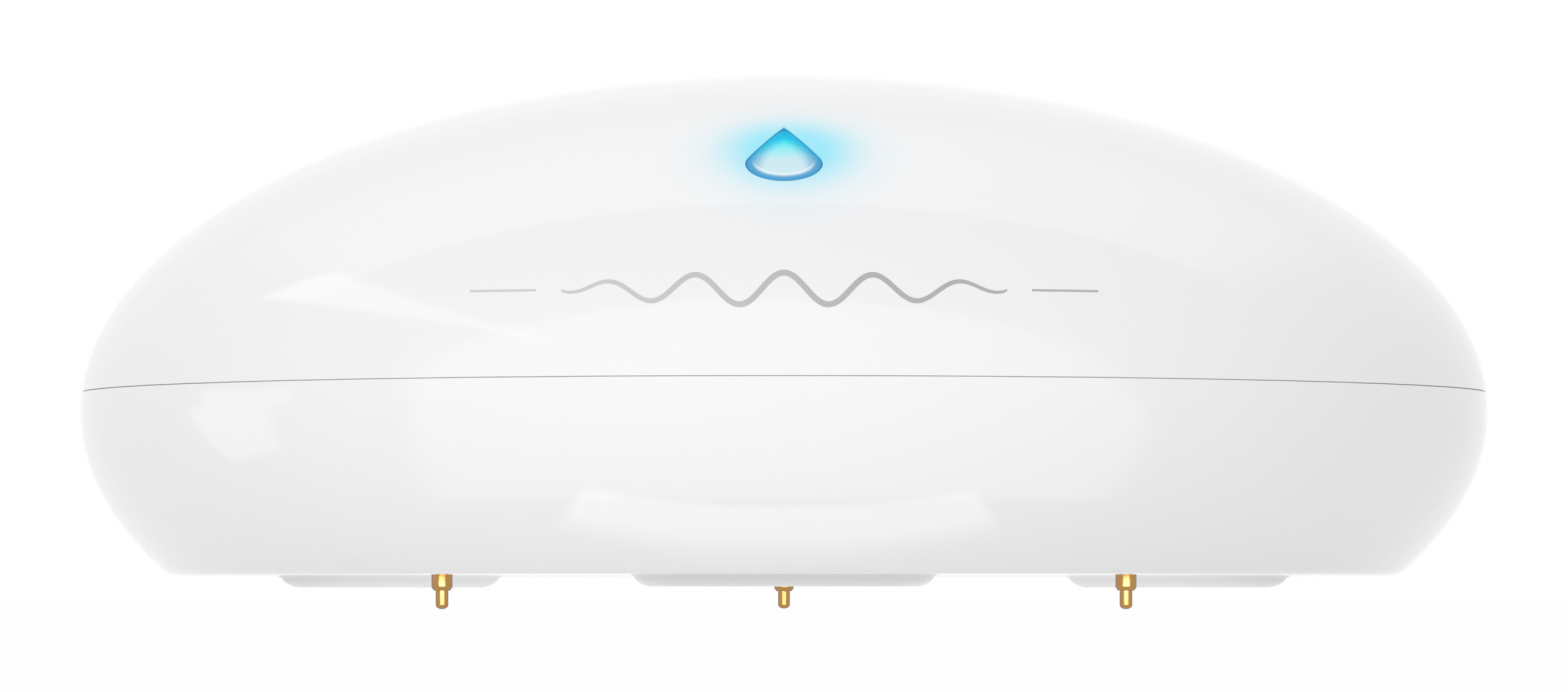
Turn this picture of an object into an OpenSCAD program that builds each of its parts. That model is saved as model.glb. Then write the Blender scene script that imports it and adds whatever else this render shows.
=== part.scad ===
// Round water leak sensor: a domed screw-top case that stands on three sprung probes.
// The ground under the probe tips is z = 0, the middle of the case is x = y = 0,
// and the drop-shaped indicator faces -Y.

/* [Case] */
// Widest diameter of the case
case_d = 72; // [71:0.5:80]
// Height of the dome above the widest ring
dome_h = 17.2; // [17:0.1:21]
// Full depth of the lower half's curve, before its flat cut
belly_h = 17.2; // [16:0.1:20]
// Height of the widest ring above the flat underside
belly_cut = 8.36; // [8:0.02:9.5]
// Height of the seam above the widest ring
seam_up = 0.96; // [0.6:0.02:1.4]
// Gap between the two rims at the seam
seam_gap = 0.08; // [0.06:0.02:0.3]
// Wall of the cover and of the base
wall = 2; // [1.6:0.1:2.3]
// Floor of the base
floor_t = 2; // [1.5:0.1:2.4]

/* [Screw ring] */
// Wall of the cover's inner skirt
skirt_wall = 1.4; // [1.2:0.1:1.7]
// Radial clearance between the skirt and the ridges
ridge_clear = 0.3; // [0.2:0.05:0.5]
// How far the ridges stand out of the base's collar
ridge_out = 1.2; // [0.9:0.1:1.5]
// Thickness of a ridge along the axis
ridge_t = 1; // [0.8:0.1:1.2]
// Turn for which a pin lies under its ridge before it comes free, in degrees
ridge_turn = 24; // [16:1:26]
// Length of ridge behind the pin when the cover is shut, in degrees
ridge_back = 8; // [4:1:10]
// Rise of the cover in one full turn
screw_lead = 30; // [24:1:32]
// Diameter of the cover's three pins
pin_d = 1.4; // [1.2:0.1:1.6]
// Height of the pins' middle above the cover's rim
pin_up = 1.25; // [1.1:0.05:1.4]
// Play between a pin and its ridge along the axis
pin_play = 0.2; // [0.1:0.05:0.3]
// Wall of the base's collar
collar_wall = 1.6; // [1.3:0.1:1.9]
// Collar left standing above the ridges
collar_land = 0.3; // [0.2:0.1:0.6]
// Width of the cover's sealing ring
seal_w = 1.8; // [1.4:0.1:2]
// Height of the cover's sealing ring
seal_h = 1.6; // [1.2:0.1:1.8]
// Clearance round the sealing ring in its groove
seal_clear = 0.1; // [0.05:0.05:0.15]
// Gap between the shut sealing ring and the base's rim
seal_lift = 0.05; // [0.02:0.01:0.1]
// Thickness of the base's rim, under the sealing ring
rim_t = 1.6; // [1.2:0.1:2]

/* [Indicator] */
// Length of the drop-shaped lens along the dome
drop_l = 6.5; // [5:0.1:7]
// Width of the drop-shaped lens
drop_w = 3.64; // [3:0.02:4.2]
// Distance of the lens's middle in from the case's edge
drop_in = 10.4; // [10:0.1:11.4]
// Clearance round the lens in the cover
drop_clear = 0.05; // [0.03:0.01:0.1]
// Diameter of the light guide against the cover
guide_top_d = 5; // [4.6:0.1:5.6]
// Diameter of the light guide's lower end
guide_low_d = 3.4; // [2.6:0.1:4]
// Gap between the light guide's lower end and the collar's top
guide_gap = 0.6; // [0.4:0.1:0.8]
// Gap between the light guide and the cover's inside
guide_seat = 0.02; // [0.01:0.01:0.05]

/* [Feet] */
// Width of a foot across the radius, where it meets the underside
foot_w = 14.9; // [12:0.1:17]
// Length of a foot along the radius, where it meets the underside
foot_l = 6.8; // [6.6:0.1:9]
// Height of a foot
foot_h = 0.6; // [0.4:0.05:0.9]
// How far a foot's sloped edges draw in towards the ground
foot_slope = 1; // [0.5:0.1:1.5]
// Corner radius of a foot
foot_corner = 2.5; // [2:0.1:2.8]
// Distance of a foot's middle in from the case's edge
foot_in = 12.1; // [11:0.1:14]

/* [Probes] */
// Height of the underside above the probe tips
probe_out = 1.72; // [1.5:0.02:2.2]
// Distance of the probes from the case's axis
probe_ring_r = 19.8; // [19.3:0.1:20.2]
// Outside diameter of a probe's barrel
barrel_d = 1.06; // [1:0.02:1.2]
// Straight length of barrel below the underside
barrel_out = 0.63; // [0.4:0.01:0.7]
// Length of the barrel's cone
barrel_cone = 0.16; // [0.1:0.02:0.2]
// Wall left at the small end of the barrel's cone
barrel_lip = 0.06; // [0.04:0.01:0.08]
// Length of the barrel's narrow mouth, which guides the plunger
mouth_l = 1.6; // [1.2:0.1:1.8]
// Diameter of a plunger
plunger_d = 0.64; // [0.5:0.02:0.66]
// Radial running clearance of a plunger in its barrel
plunger_clear = 0.03; // [0.02:0.01:0.04]
// How far a plunger's collar stands out of it
plunger_collar = 0.06; // [0.05:0.01:0.07]
// Length of a plunger's collar
collar_l = 0.5; // [0.3:0.1:0.6]
// Height of a plunger's rounded tip
tip_h = 0.22; // [0.15:0.01:0.3]
// Gap between the collar and the end of the mouth
collar_gap = 0.02; // [0.01:0.01:0.05]
// Wall of a probe's spring, as a plain sleeve
spring_wall = 0.12; // [0.1:0.01:0.15]
// Closed end of the barrel, above its spring
barrel_end = 0.2; // [0.15:0.05:0.3]
// Diameter of the barrel's flange
flange_d = 3; // [2.8:0.1:3.2]
// Thickness of the barrel's flange
flange_t = 0.4; // [0.3:0.05:0.6]
// Diameter of the barrel's tail through the board
tail_d = 0.7; // [0.6:0.05:0.8]
// Length of the tail above the board
tail_out = 0.7; // [0.5:0.1:1]
// Height of a probe's boss above the floor
boss_h = 2.1; // [1.9:0.1:2.2]
// Wall of a probe's boss round its sealing ring
boss_wall = 0.4; // [0.3:0.05:0.5]
// Section of a probe's sealing ring, across and along
ring_t = 0.55; // [0.45:0.05:0.6]
// Clearance of a barrel, tail or ring in its hole
hole_clear = 0.05; // [0.03:0.01:0.08]

/* [Board] */
// Gap between the board and the collar
board_gap = 0.6; // [0.4:0.1:0.8]
// Height of the board's underside above the floor
board_up = 2.7; // [2.6:0.05:3]
// Thickness of the board
board_t = 1.6; // [1.2:0.1:1.6]
// Gap between the board and the battery cradle
board_cut = 0.4; // [0.3:0.05:0.5]
// Distance of the screws' axes from the board's edge
screw_in = 3.1; // [3:0.1:3.3]
// Diameter of a screw's shank
screw_d = 2; // [1.8:0.1:2.2]
// Diameter of a screw's head
screw_head_d = 3.8; // [3.4:0.1:4]
// Height of a screw's head
screw_head_h = 1.3; // [1:0.1:1.6]
// Length of a screw below its head
screw_l = 4; // [3:0.1:4.2]
// Width of a screw's cross slot
slot_w = 0.6; // [0.5:0.05:0.7]
// Depth of a screw's cross slot
slot_t = 0.6; // [0.4:0.05:0.8]
// Diameter of a screw's boss
screw_boss_d = 4; // [3.8:0.1:4.4]

/* [Battery] */
// Diameter of the battery
battery_d = 17; // [16:0.1:17.2]
// Length of the battery, with its nub
battery_l = 34.5; // [33:0.1:35]
// Diameter of the battery's nub
nub_d = 6.5; // [5.5:0.1:7]
// Length of the battery's nub
nub_l = 1; // [0.8:0.1:1.4]
// Rounding of the battery's edges
battery_edge = 0.6; // [0.3:0.1:1]
// Distance of the battery's axis behind the case's axis
battery_y = 2.6; // [2.4:0.1:3]
// Clearance on each side of the battery in its cradle
battery_clear = 0.2; // [0.1:0.05:0.3]
// Gap between the battery and the cradle's floor
battery_lift = 0.05; // [0.02:0.01:0.1]
// Walls of the cradle
cradle_wall = 1.5; // [1.2:0.1:1.7]
// Length of the cradle's two sides
cradle_side_l = 24; // [18:0.5:28]
// Edge of the cradle's ends on each side of the contact plates
cradle_rim = 0.4; // [0.2:0.1:0.6]
// Floor of the cradle
cradle_floor = 0.8; // [0.6:0.1:1]
// How far the cradle's sides stop below the battery's axis
cradle_low = 1; // [0.5:0.1:3]
// How far the cradle's ends rise above the battery's axis
cradle_high = 4; // [3:0.1:4.5]
// Thickness of the contact plates
contact_t = 0.4; // [0.3:0.05:0.5]
// Width of the contact plates
contact_w = 9; // [7:0.1:12]
// Gap between a contact and what it touches
contact_gap = 0.02; // [0.01:0.01:0.05]
// Length of the negative spring, pressed
cone_spring_l = 2.8; // [2.6:0.1:3.2]
// Wire of the negative spring
wire_d = 0.6; // [0.5:0.05:0.65]
// Middle radius of the negative spring at the plate
wire_r_wide = 4.2; // [3.9:0.1:4.4]
// Middle radius of the negative spring at the battery
wire_r_small = 1.8; // [1.5:0.1:1.9]
// Curls of the negative spring
wire_curls = 2.5; // [2:0.25:2.5]

/* [Board parts] */
// Distance of the light's middle from the board's edge
led_in = 2.2; // [2:0.1:2.4]
// Light's width, length and height
led_size = [3.5, 2.8, 1.9]; // [1:0.1:4]
// Radio's width, length and height
radio_size = [10.4, 9.4, 2.4]; // [2:0.1:10.6]
// Radio's place: right of the case's axis, and in front of the cradle's opening
radio_at = [7, 5.1]; // [5:0.1:7.2]
// Controller's width, length and height
chip_size = [6, 6, 0.9]; // [0.8:0.1:7]
// Controller's place
chip_at = [-3.2, 4.6]; // [-3.4:0.1:4.8]
// Crystal's length, width and height
crystal_size = [6.4, 3.2, 2.6]; // [2:0.1:6.5]
// Crystal's place
crystal_at = [-1.8, 9.4]; // [-2:0.1:9.6]
// Button body's width and height
button_size = [6, 3.2]; // [3:0.1:6.2]
// Button's place
button_at = [-9.4, 4.9]; // [-9.6:0.1:5.2]
// Diameter of the button's plunger
button_d = 3.4; // [3:0.1:3.8]
// Height of the button's plunger above its body
button_out = 1.4; // [1:0.1:2]
// Travel of the button
button_travel = 0.3; // [0.2:0.05:0.4]
// Radial running clearance of the button
button_clear = 0.05; // [0.03:0.01:0.08]
// Depth of the button's well
button_well = 2.2; // [1.8:0.1:2.4]
// Diameter of the buzzer
buzzer_d = 8; // [7:0.1:8.6]
// Height of the buzzer
buzzer_h = 5; // [4:0.1:6]
// Diameter of the buzzer's sound hole
buzzer_hole_d = 1.8; // [1.2:0.1:2.4]
// Angle at which the buzzer stands, in degrees
buzzer_turn = 111; // [108:1:118]
// Gap between the board's edge and the buzzer or the capacitor
edge_gap = 0.2; // [0.1:0.1:0.6]
// Diameter of the capacitor
cap_d = 5; // [4:0.1:5.2]
// Height of the capacitor
cap_h = 5.4; // [4:0.1:6]
// Side and height of the capacitor's square foot
cap_foot = [5.3, 1]; // [0.8:0.1:5.4]
// Angle at which the capacitor stands, in degrees
cap_turn = 62; // [58:1:64]
// Diameter of the temperature bead
bead_d = 2.2; // [1.8:0.1:2.4]
// Height of the temperature bead's middle above the board
bead_up = 2.6; // [2:0.1:4]
// Diameter of the bead's two legs
leg_d = 0.5; // [0.4:0.05:0.6]
// Distance between the bead's two legs
leg_step = 1.2; // [1:0.1:1.3]
// Distance of the temperature bead's middle from the board's edge
bead_in = 2.6; // [1.8:0.1:3]
// Angle at which the temperature bead stands, in degrees
bead_turn = 44; // [40:1:46]
// Distance of the aerial from the board's edge
aerial_in = 1; // [0.8:0.1:1.1]
// Diameter of the aerial's wire
aerial_d = 0.8; // [0.6:0.05:0.9]
// Height of the aerial above the board
aerial_up = 2; // [1.5:0.1:3]
// Diameter of the aerial's foot
aerial_foot_d = 1.3; // [1.1:0.1:1.5]
// Angle at which the aerial's foot stands, in degrees
aerial_from = 196; // [194:1:200]
// Angle that the aerial sweeps, in degrees
aerial_sweep = 40; // [20:1:44]

/* [Hidden] */
$fn = 96;
arc_steps = 40;
case_r = case_d/2;
in_r = case_r - wall;
dome_in_h = dome_h - wall;
belly_in_h = belly_h - wall;

// Heights from the ground up
z_base = probe_out;
z_mid = z_base + belly_cut;
z_seam = z_mid + seam_up;
z_rim = z_seam - seam_gap/2;
z_cover = z_seam + seam_gap/2;
z_floor = z_base + floor_t;
z_board = z_floor + board_up;
z_top = z_board + board_t;

// Rings from the case's wall inwards
z_seal = z_rim + seal_lift;
seal_r = in_r*sqrt(1 - pow((z_seal + seal_h - z_mid)/dome_in_h, 2)) - seal_clear;
skirt_out_r = seal_r - seal_w - seal_clear;
skirt_r = skirt_out_r - skirt_wall;
ridge_r = skirt_r - ridge_clear;
collar_r = ridge_r - ridge_out;
collar_in_r = collar_r - collar_wall;
board_r = collar_in_r - board_gap;
rim_in_r = seal_r - seal_w;

// Heights of the pins and ridges
z_pin = z_cover + pin_up;
ridge_low = pin_d/2 + pin_play;
z_collar = z_pin + ridge_low + screw_lead*ridge_turn/360 + ridge_t + collar_land;
pin_turns = [30, 150, 270];

// The lens's middle on the dome, and the dome's slope there
drop_y = case_r - drop_in;
z_drop = z_mid + dome_h*sqrt(1 - pow(drop_y/case_r, 2));
drop_tilt = atan((drop_y/pow(case_r, 2))/((z_drop - z_mid)/pow(dome_h, 2)));
z_guide = z_collar + guide_gap;

// Battery and cradle
cradle_in_w = battery_d + 2*battery_clear;
cradle_in_l = battery_l + cone_spring_l + 2*contact_t + 3*contact_gap;
cradle_w = cradle_in_w + 2*cradle_wall;
cradle_l = cradle_in_l + 2*cradle_wall;
z_battery = z_floor + cradle_floor + battery_lift + battery_d/2;
x_positive = cradle_in_l/2 - contact_t;
x_nub = x_positive - contact_gap;
x_minus = x_nub - battery_l;
x_negative = -cradle_in_l/2 + contact_t;
cradle_waist_l = 2*(x_nub - nub_l + battery_clear);
cradle_waist_w = 2*sqrt(pow(battery_d/2, 2) - pow(z_battery - z_top, 2)) + 2*battery_clear;
cradle_end_w = contact_w + 2*cradle_rim;
y_front = battery_y - cradle_w/2 - board_cut;

// Probes, feet and screws round the axis
probe_turns = [90, 210, 330];
foot_turns = [270, 150, 30];
screw_turns = [79, 222, 318];
foot_ring_r = case_r - foot_in;
screw_ring_r = board_r - screw_in;
z_barrel = z_base - barrel_out;
z_cone = z_barrel - barrel_cone;
z_mouth = z_cone + mouth_l;
z_flange = z_floor + boss_h;
z_bore = z_flange + flange_t - barrel_end;
mouth_r = plunger_d/2 + plunger_clear;
bore_r = plunger_d/2 + plunger_collar + plunger_clear;
ring_in_r = barrel_d/2 + hole_clear;
ring_out_r = ring_in_r + ring_t;
boss_r = ring_out_r + hole_clear + boss_wall;
z_collar_low = z_mouth + collar_gap;
z_collar_high = z_collar_low + collar_l;

// Points on an oval arc about the widest ring, from one angle to another
function oval(a, b, from, to) = [for (i = [0:arc_steps])
    let (t = from + (to - from)*i/arc_steps) [a*cos(t), z_mid + b*sin(t)]];
// Outline of a water drop, grown by a margin: a round end and two straight sides that meet along +Y
drop_r = drop_w/2;
drop_half = asin(drop_r/(drop_l - drop_r));
function drop_outline(grow) = let (r = drop_r + grow, middle = drop_r - drop_l/2)
    concat([[0, middle + r/sin(drop_half)]],
        [for (i = [0:arc_steps]) let (t = 90 - drop_half + (180 + 2*drop_half)*i/arc_steps)
        [r*sin(t), middle + r*cos(t)]]);

// A ring along the wire of the battery's conical spring
function coil_angle(i) = 360*wire_curls*i/coil_rings;
function coil_point(i) = let (s = i/coil_rings, r = wire_r_wide + (wire_r_small - wire_r_wide)*s)
    [coil_start + coil_rise*s, r*cos(coil_angle(i)), r*sin(coil_angle(i))];
coil_rings = ceil(8*wire_curls);
coil_sides = 6;
coil_start = x_negative + contact_gap + wire_d/2;
coil_rise = x_minus - contact_gap - wire_d/2 - coil_start;
coil_path = [for (i = [0:coil_rings]) coil_point(i)];
coil_gap = min([for (i = [0:coil_rings]) for (j = [0:coil_rings])
    if (j - i >= 5) norm(coil_path[j] - coil_path[i])]) - wire_d;
echo(least_gap_of_the_negative_spring = coil_gap);

module tube(low_r, high_r, from, to) {
    rotate_extrude()
        translate([low_r, from])
        square([high_r - low_r, to - from]);
}
// Places on the board: one given from the case's axis and the cradle's opening, one on a ring inside the edge
function in_front(at) = [at.x, y_front - at.y, z_top];
function at_edge(inset, turn) = [(board_r - inset)*cos(turn), (board_r - inset)*sin(turn), z_top];
buzzer_at = at_edge(buzzer_d/2 + edge_gap, buzzer_turn);
cap_at = at_edge(cap_foot.x*sqrt(0.5) + edge_gap, cap_turn);
module plate(size, at) {
    translate([at.x - size.x/2, at.y - size.y/2, z_top])
        cube(size);
}
// Outline of the cradle in plan, grown by a margin: it steps in towards its two ends
module cradle_block(grow, h) {
    for (size = [[cradle_side_l, cradle_w], [cradle_waist_l, cradle_waist_w], [cradle_l, cradle_end_w]])
        translate([-size.x/2 - grow, -size.y/2 - grow, 0])
        cube([size.x + 2*grow, size.y + 2*grow, h]);
}
module round_plan(w, l, corner, t) {
    for (x = [-1, 1], y = [-1, 1])
        translate([x*(w/2 - corner), y*(l/2 - corner), 0])
        cylinder(r = corner, h = t, $fn = 32);
}
module drop_prism(grow) {
    translate([0, -drop_y, z_drop])
        rotate([drop_tilt, 0, 0])
        translate([0, 0, -2*wall])
        linear_extrude(3*wall)
        polygon(drop_outline(grow));
}
module dome_solid(a, b) {
    from = asin((z_cover - z_mid)/b);
    rotate_extrude()
        polygon(concat([[0, z_cover]], oval(a, b, from, 90)));
}
// One helical ridge on the collar, whose lower face clears a pin by its play
module ridge() {
    steps = 12;
    sweep = ridge_back + ridge_turn;
    root_r = collar_r - collar_wall/2;
    function turn(i) = -ridge_back + sweep*i/steps;
    function level(i) = z_pin + ridge_low + screw_lead*turn(i)/360;
    rings = [for (i = [0:steps]) for (p = [[root_r, 0], [ridge_r, 0], [ridge_r, ridge_t], [root_r, ridge_t]])
        [p[0]*cos(turn(i)), p[0]*sin(turn(i)), level(i) + p[1]]];
    sides = [for (i = [0:steps - 1]) for (k = [0:3]) each [
        [4*i + k, 4*i + (k + 1)%4, 4*i + 4 + k],
        [4*i + (k + 1)%4, 4*i + 4 + (k + 1)%4, 4*i + 4 + k]]];
    last = 4*steps;
    ends = [[0, 2, 1], [0, 3, 2], [last, last + 1, last + 2], [last, last + 2, last + 3]];
    polyhedron(rings, concat(sides, ends));
}

module base_shell() {
    low = asin(-belly_cut/belly_h);
    high = asin((z_rim - z_mid)/dome_h);
    in_low = asin((z_floor - z_mid)/belly_in_h);
    in_high = asin((z_rim - rim_t - z_mid)/belly_in_h);
    color("white") difference() {
        union() {
            rotate_extrude()
                polygon(concat([[0, z_base]],
                    oval(case_r, belly_h, low, 0),
                    [for (i = [1:4]) [case_r*cos(high*i/4), z_mid + dome_h*sin(high*i/4)]],
                    [[rim_in_r, z_rim], [rim_in_r, z_rim - rim_t]],
                    oval(in_r, belly_in_h, in_high, in_low),
                    [[collar_r, z_floor], [collar_r, z_collar],
                    [collar_in_r, z_collar], [collar_in_r, z_floor], [0, z_floor]]));
            for (a = pin_turns)
                rotate(a)
                ridge();
            for (a = probe_turns)
                rotate(a)
                translate([probe_ring_r, 0, z_floor - floor_t/2])
                cylinder(r = boss_r, h = boss_h + floor_t/2);
            for (a = screw_turns)
                rotate(a)
                translate([screw_ring_r, 0, z_floor - floor_t/2])
                cylinder(d = screw_boss_d, h = board_up + floor_t/2);
        }
        for (a = probe_turns)
            rotate(a)
            translate([probe_ring_r, 0, 0]) {
                cylinder(r = barrel_d/2 + hole_clear, h = z_collar);
                translate([0, 0, z_flange - ring_t])
                    cylinder(r = ring_out_r + hole_clear, h = z_collar);
            }
        for (a = screw_turns)
            rotate(a)
            translate([screw_ring_r, 0, z_top - screw_l - hole_clear])
            cylinder(d = screw_d + 2*hole_clear, h = screw_l);
    }
}

module foot(turn) {
    color("whitesmoke")
        rotate(turn)
        translate([foot_ring_r, 0, z_base])
        mirror([0, 0, 1])
        hull() {
            round_plan(foot_l, foot_w, foot_corner, foot_h/20);
            translate([0, 0, foot_h*19/20])
                round_plan(foot_l - 2*foot_slope, foot_w - 2*foot_slope,
                    foot_corner - foot_slope/2, foot_h/20);
        }
}

module probe_barrel(turn) {
    color("goldenrod")
        rotate(turn)
        translate([probe_ring_r, 0, 0])
        rotate_extrude()
        polygon([[mouth_r, z_cone], [mouth_r + barrel_lip, z_cone], [barrel_d/2, z_barrel],
            [barrel_d/2, z_flange], [flange_d/2, z_flange], [flange_d/2, z_flange + flange_t],
            [tail_d/2, z_flange + flange_t], [tail_d/2, z_top + tail_out], [0, z_top + tail_out],
            [0, z_bore], [bore_r, z_bore], [bore_r, z_mouth], [mouth_r, z_mouth]]);
}

module probe_plunger(turn) {
    color("gold")
        rotate(turn)
        translate([probe_ring_r, 0, 0])
        rotate_extrude()
        polygon(concat([for (i = [0:8]) [plunger_d/2*sin(90*i/8), tip_h*(1 - cos(90*i/8))]],
            [[plunger_d/2, z_collar_low], [plunger_d/2 + plunger_collar, z_collar_low],
            [plunger_d/2 + plunger_collar, z_collar_high], [0, z_collar_high]]));
}

module probe_spring(turn) {
    outer_r = bore_r - plunger_clear;
    color("silver")
        rotate(turn)
        translate([probe_ring_r, 0, 0])
        tube(outer_r - spring_wall, outer_r, z_collar_high + collar_gap, z_bore - collar_gap);
}

module probe_seals() {
    color("dimgray")
        for (a = probe_turns)
            rotate(a)
            translate([probe_ring_r, 0, 0])
            tube(ring_in_r, ring_out_r, z_flange - ring_t, z_flange - hole_clear);
}

module circuit_board() {
    color("darkgreen") difference() {
        translate([0, 0, z_board])
            cylinder(r = board_r, h = board_t);
        translate([0, battery_y, z_floor])
            cradle_block(board_cut, z_top);
        for (a = screw_turns)
            rotate(a)
            translate([screw_ring_r, 0, z_floor])
            cylinder(d = screw_d + 2*hole_clear, h = z_top);
        for (a = probe_turns)
            rotate(a)
            translate([probe_ring_r, 0, z_floor])
            cylinder(d = tail_d + 2*hole_clear, h = z_top);
    }
}

module board_screws() {
    color("silver")
        for (a = screw_turns)
            rotate(a)
            translate([screw_ring_r, 0, z_top])
            difference() {
                union() {
                    translate([0, 0, -screw_l])
                        cylinder(d = screw_d, h = screw_l);
                    cylinder(d = screw_head_d, h = screw_head_h);
                }
                for (turn = [0, 90])
                    rotate(turn)
                    translate([-screw_head_d/3, -slot_w/2, screw_head_h - slot_t])
                    cube([screw_head_d*2/3, slot_w, screw_head_h]);
            }
}

module battery_cradle() {
    color("gainsboro")
        translate([0, battery_y, z_floor])
        difference() {
            cradle_block(0, z_battery + cradle_high - z_floor);
            translate([-cradle_in_l/2, -cradle_in_w/2, cradle_floor])
                cube([cradle_in_l, cradle_in_w, z_collar]);
            translate([-cradle_in_l/2, -cradle_w, z_battery - cradle_low - z_floor])
                cube([cradle_in_l, 2*cradle_w, z_collar]);
        }
}

module battery() {
    e = battery_edge;
    body_l = battery_l - nub_l;
    color("slategray")
        translate([x_minus, battery_y, z_battery])
        rotate([0, 90, 0])
        rotate_extrude()
        polygon([[0, 0], [battery_d/2 - e, 0], [battery_d/2, e], [battery_d/2, body_l - e],
            [battery_d/2 - e, body_l], [nub_d/2, body_l], [nub_d/2, battery_l], [0, battery_l]]);
}

module contact_plate(x) {
    low = z_floor + cradle_floor + contact_gap;
    high = z_battery + cradle_high;
    translate([x, battery_y - contact_w/2, low])
        cube([contact_t, contact_w, high - low]);
}
module positive_contact() {
    color("silver")
        contact_plate(x_positive - contact_gap/2);
}
module negative_contact() {
    color("silver")
        contact_plate(x_negative - contact_t + contact_gap/2);
}

module negative_spring() {
    ring_points = [for (i = [0:coil_rings]) let (
        out = [0, cos(coil_angle(i)), sin(coil_angle(i))])
        for (k = [0:coil_sides - 1]) let (t = 360*k/coil_sides)
        coil_path[i] + wire_d/2*(cos(t)*out + sin(t)*[1, 0, 0])];
    sides = [for (i = [0:coil_rings - 1]) for (k = [0:coil_sides - 1])
        let (a = coil_sides*i, n = (k + 1)%coil_sides) each [
        [a + k, a + n, a + coil_sides + k],
        [a + n, a + coil_sides + n, a + coil_sides + k]]];
    last = coil_sides*coil_rings;
    ends = [for (k = [1:coil_sides - 2]) each [[0, k + 1, k], [last, last + k, last + k + 1]]];
    color("silver")
        translate([0, battery_y, z_battery])
        polyhedron(ring_points, concat(sides, ends));
}

module status_led() {
    color("lightcyan")
        plate(led_size, [0, -(board_r - led_in)]);
}

module radio_shield() {
    color("silver")
        plate(radio_size, in_front(radio_at));
}

module controller_chip() {
    color("black")
        plate(chip_size, in_front(chip_at));
}

module crystal() {
    straight = crystal_size.x - crystal_size.y;
    color("lightgray") {
        plate([straight, crystal_size.y, crystal_size.z], in_front(crystal_at));
        for (side = [-1, 1])
            translate(in_front(crystal_at) + [side*straight/2, 0, 0])
            cylinder(d = crystal_size.y, h = crystal_size.z);
    }
}

module button_housing() {
    w = button_size.x;
    h = button_size.y;
    color("dimgray") difference() {
        plate([w, w, h], in_front(button_at));
        translate(in_front(button_at) + [0, 0, h - button_well])
            cylinder(r = button_d/2 + button_clear, h = h);
    }
}

module button_plunger() {
    low = button_size.y - button_well + button_travel + button_clear;
    color("black")
        translate(in_front(button_at) + [0, 0, low])
        cylinder(d = button_d, h = button_size.y + button_out - low);
}

module buzzer() {
    color("black")
        translate(buzzer_at)
        difference() {
            cylinder(d = buzzer_d, h = buzzer_h);
            translate([0, 0, buzzer_h/2])
                cylinder(d = buzzer_hole_d, h = buzzer_h);
        }
}

module capacitor() {
    color("silver") {
        plate([cap_foot.x, cap_foot.x, cap_foot.y], cap_at);
        translate(cap_at)
            cylinder(d = cap_d, h = cap_h);
    }
}

module temperature_sensor() {
    color("saddlebrown")
        translate(at_edge(bead_in, bead_turn)) {
            for (side = [-1, 1])
                translate([side*leg_step/2, 0, 0])
                cylinder(d = leg_d, h = bead_up);
            translate([0, 0, bead_up])
                sphere(d = bead_d);
        }
}

module aerial() {
    color("peru") {
        translate([0, 0, z_top + aerial_up])
            rotate(aerial_from)
            rotate_extrude(angle = aerial_sweep)
            translate([board_r - aerial_in, 0])
            circle(d = aerial_d, $fn = 32);
        translate(at_edge(aerial_in, aerial_from))
            cylinder(d = aerial_foot_d, h = aerial_up + aerial_foot_d/2);
    }
}

module cover_seal() {
    color("dimgray")
        tube(seal_r - seal_w, seal_r, z_seal, z_seal + seal_h);
}

module top_cover() {
    out_from = asin((z_cover - z_mid)/dome_h);
    in_from = asin((z_cover - z_mid)/dome_in_h);
    color("white") difference() {
        union() {
            rotate_extrude()
                polygon(concat(oval(case_r, dome_h, out_from, 90),
                    oval(in_r, dome_in_h, 90, acos(skirt_r/in_r)),
                    [[skirt_r, z_cover], [skirt_out_r, z_cover]],
                    oval(in_r, dome_in_h, acos(skirt_out_r/in_r), in_from)));
            for (a = pin_turns)
                rotate(a)
                translate([collar_r + ridge_clear, 0, z_pin])
                rotate([0, 90, 0])
                cylinder(d = pin_d, h = skirt_r + skirt_wall/2 - collar_r - ridge_clear, $fn = 32);
        }
        drop_prism(drop_clear);
    }
}

module drop_lens() {
    color("deepskyblue") intersection() {
        drop_prism(0);
        difference() {
            dome_solid(case_r, dome_h);
            dome_solid(in_r, dome_in_h);
        }
    }
}

module light_guide() {
    color("lightcyan") intersection() {
        translate([0, -drop_y, z_guide])
            cylinder(d1 = guide_low_d, d2 = guide_top_d, h = z_drop - z_guide);
        dome_solid(in_r - guide_seat, dome_in_h - guide_seat);
    }
}

base_shell();
foot(foot_turns[0]);  // front_foot
foot(foot_turns[1]);  // left_foot
foot(foot_turns[2]);  // right_foot
probe_barrel(probe_turns[0]);  // rear_probe_barrel
probe_barrel(probe_turns[1]);  // left_probe_barrel
probe_barrel(probe_turns[2]);  // right_probe_barrel
probe_plunger(probe_turns[0]);  // rear_probe_plunger
probe_plunger(probe_turns[1]);  // left_probe_plunger
probe_plunger(probe_turns[2]);  // right_probe_plunger
probe_spring(probe_turns[0]);  // rear_probe_spring
probe_spring(probe_turns[1]);  // left_probe_spring
probe_spring(probe_turns[2]);  // right_probe_spring
probe_seals();
circuit_board();
board_screws();
battery_cradle();
battery();
positive_contact();
negative_contact();
negative_spring();
status_led();
radio_shield();
controller_chip();
crystal();
button_housing();
button_plunger();
buzzer();
capacitor();
temperature_sensor();
aerial();
cover_seal();
top_cover();
drop_lens();
light_guide();
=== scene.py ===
import math
import bmesh
import bpy
from mathutils import Matrix, Vector


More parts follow.
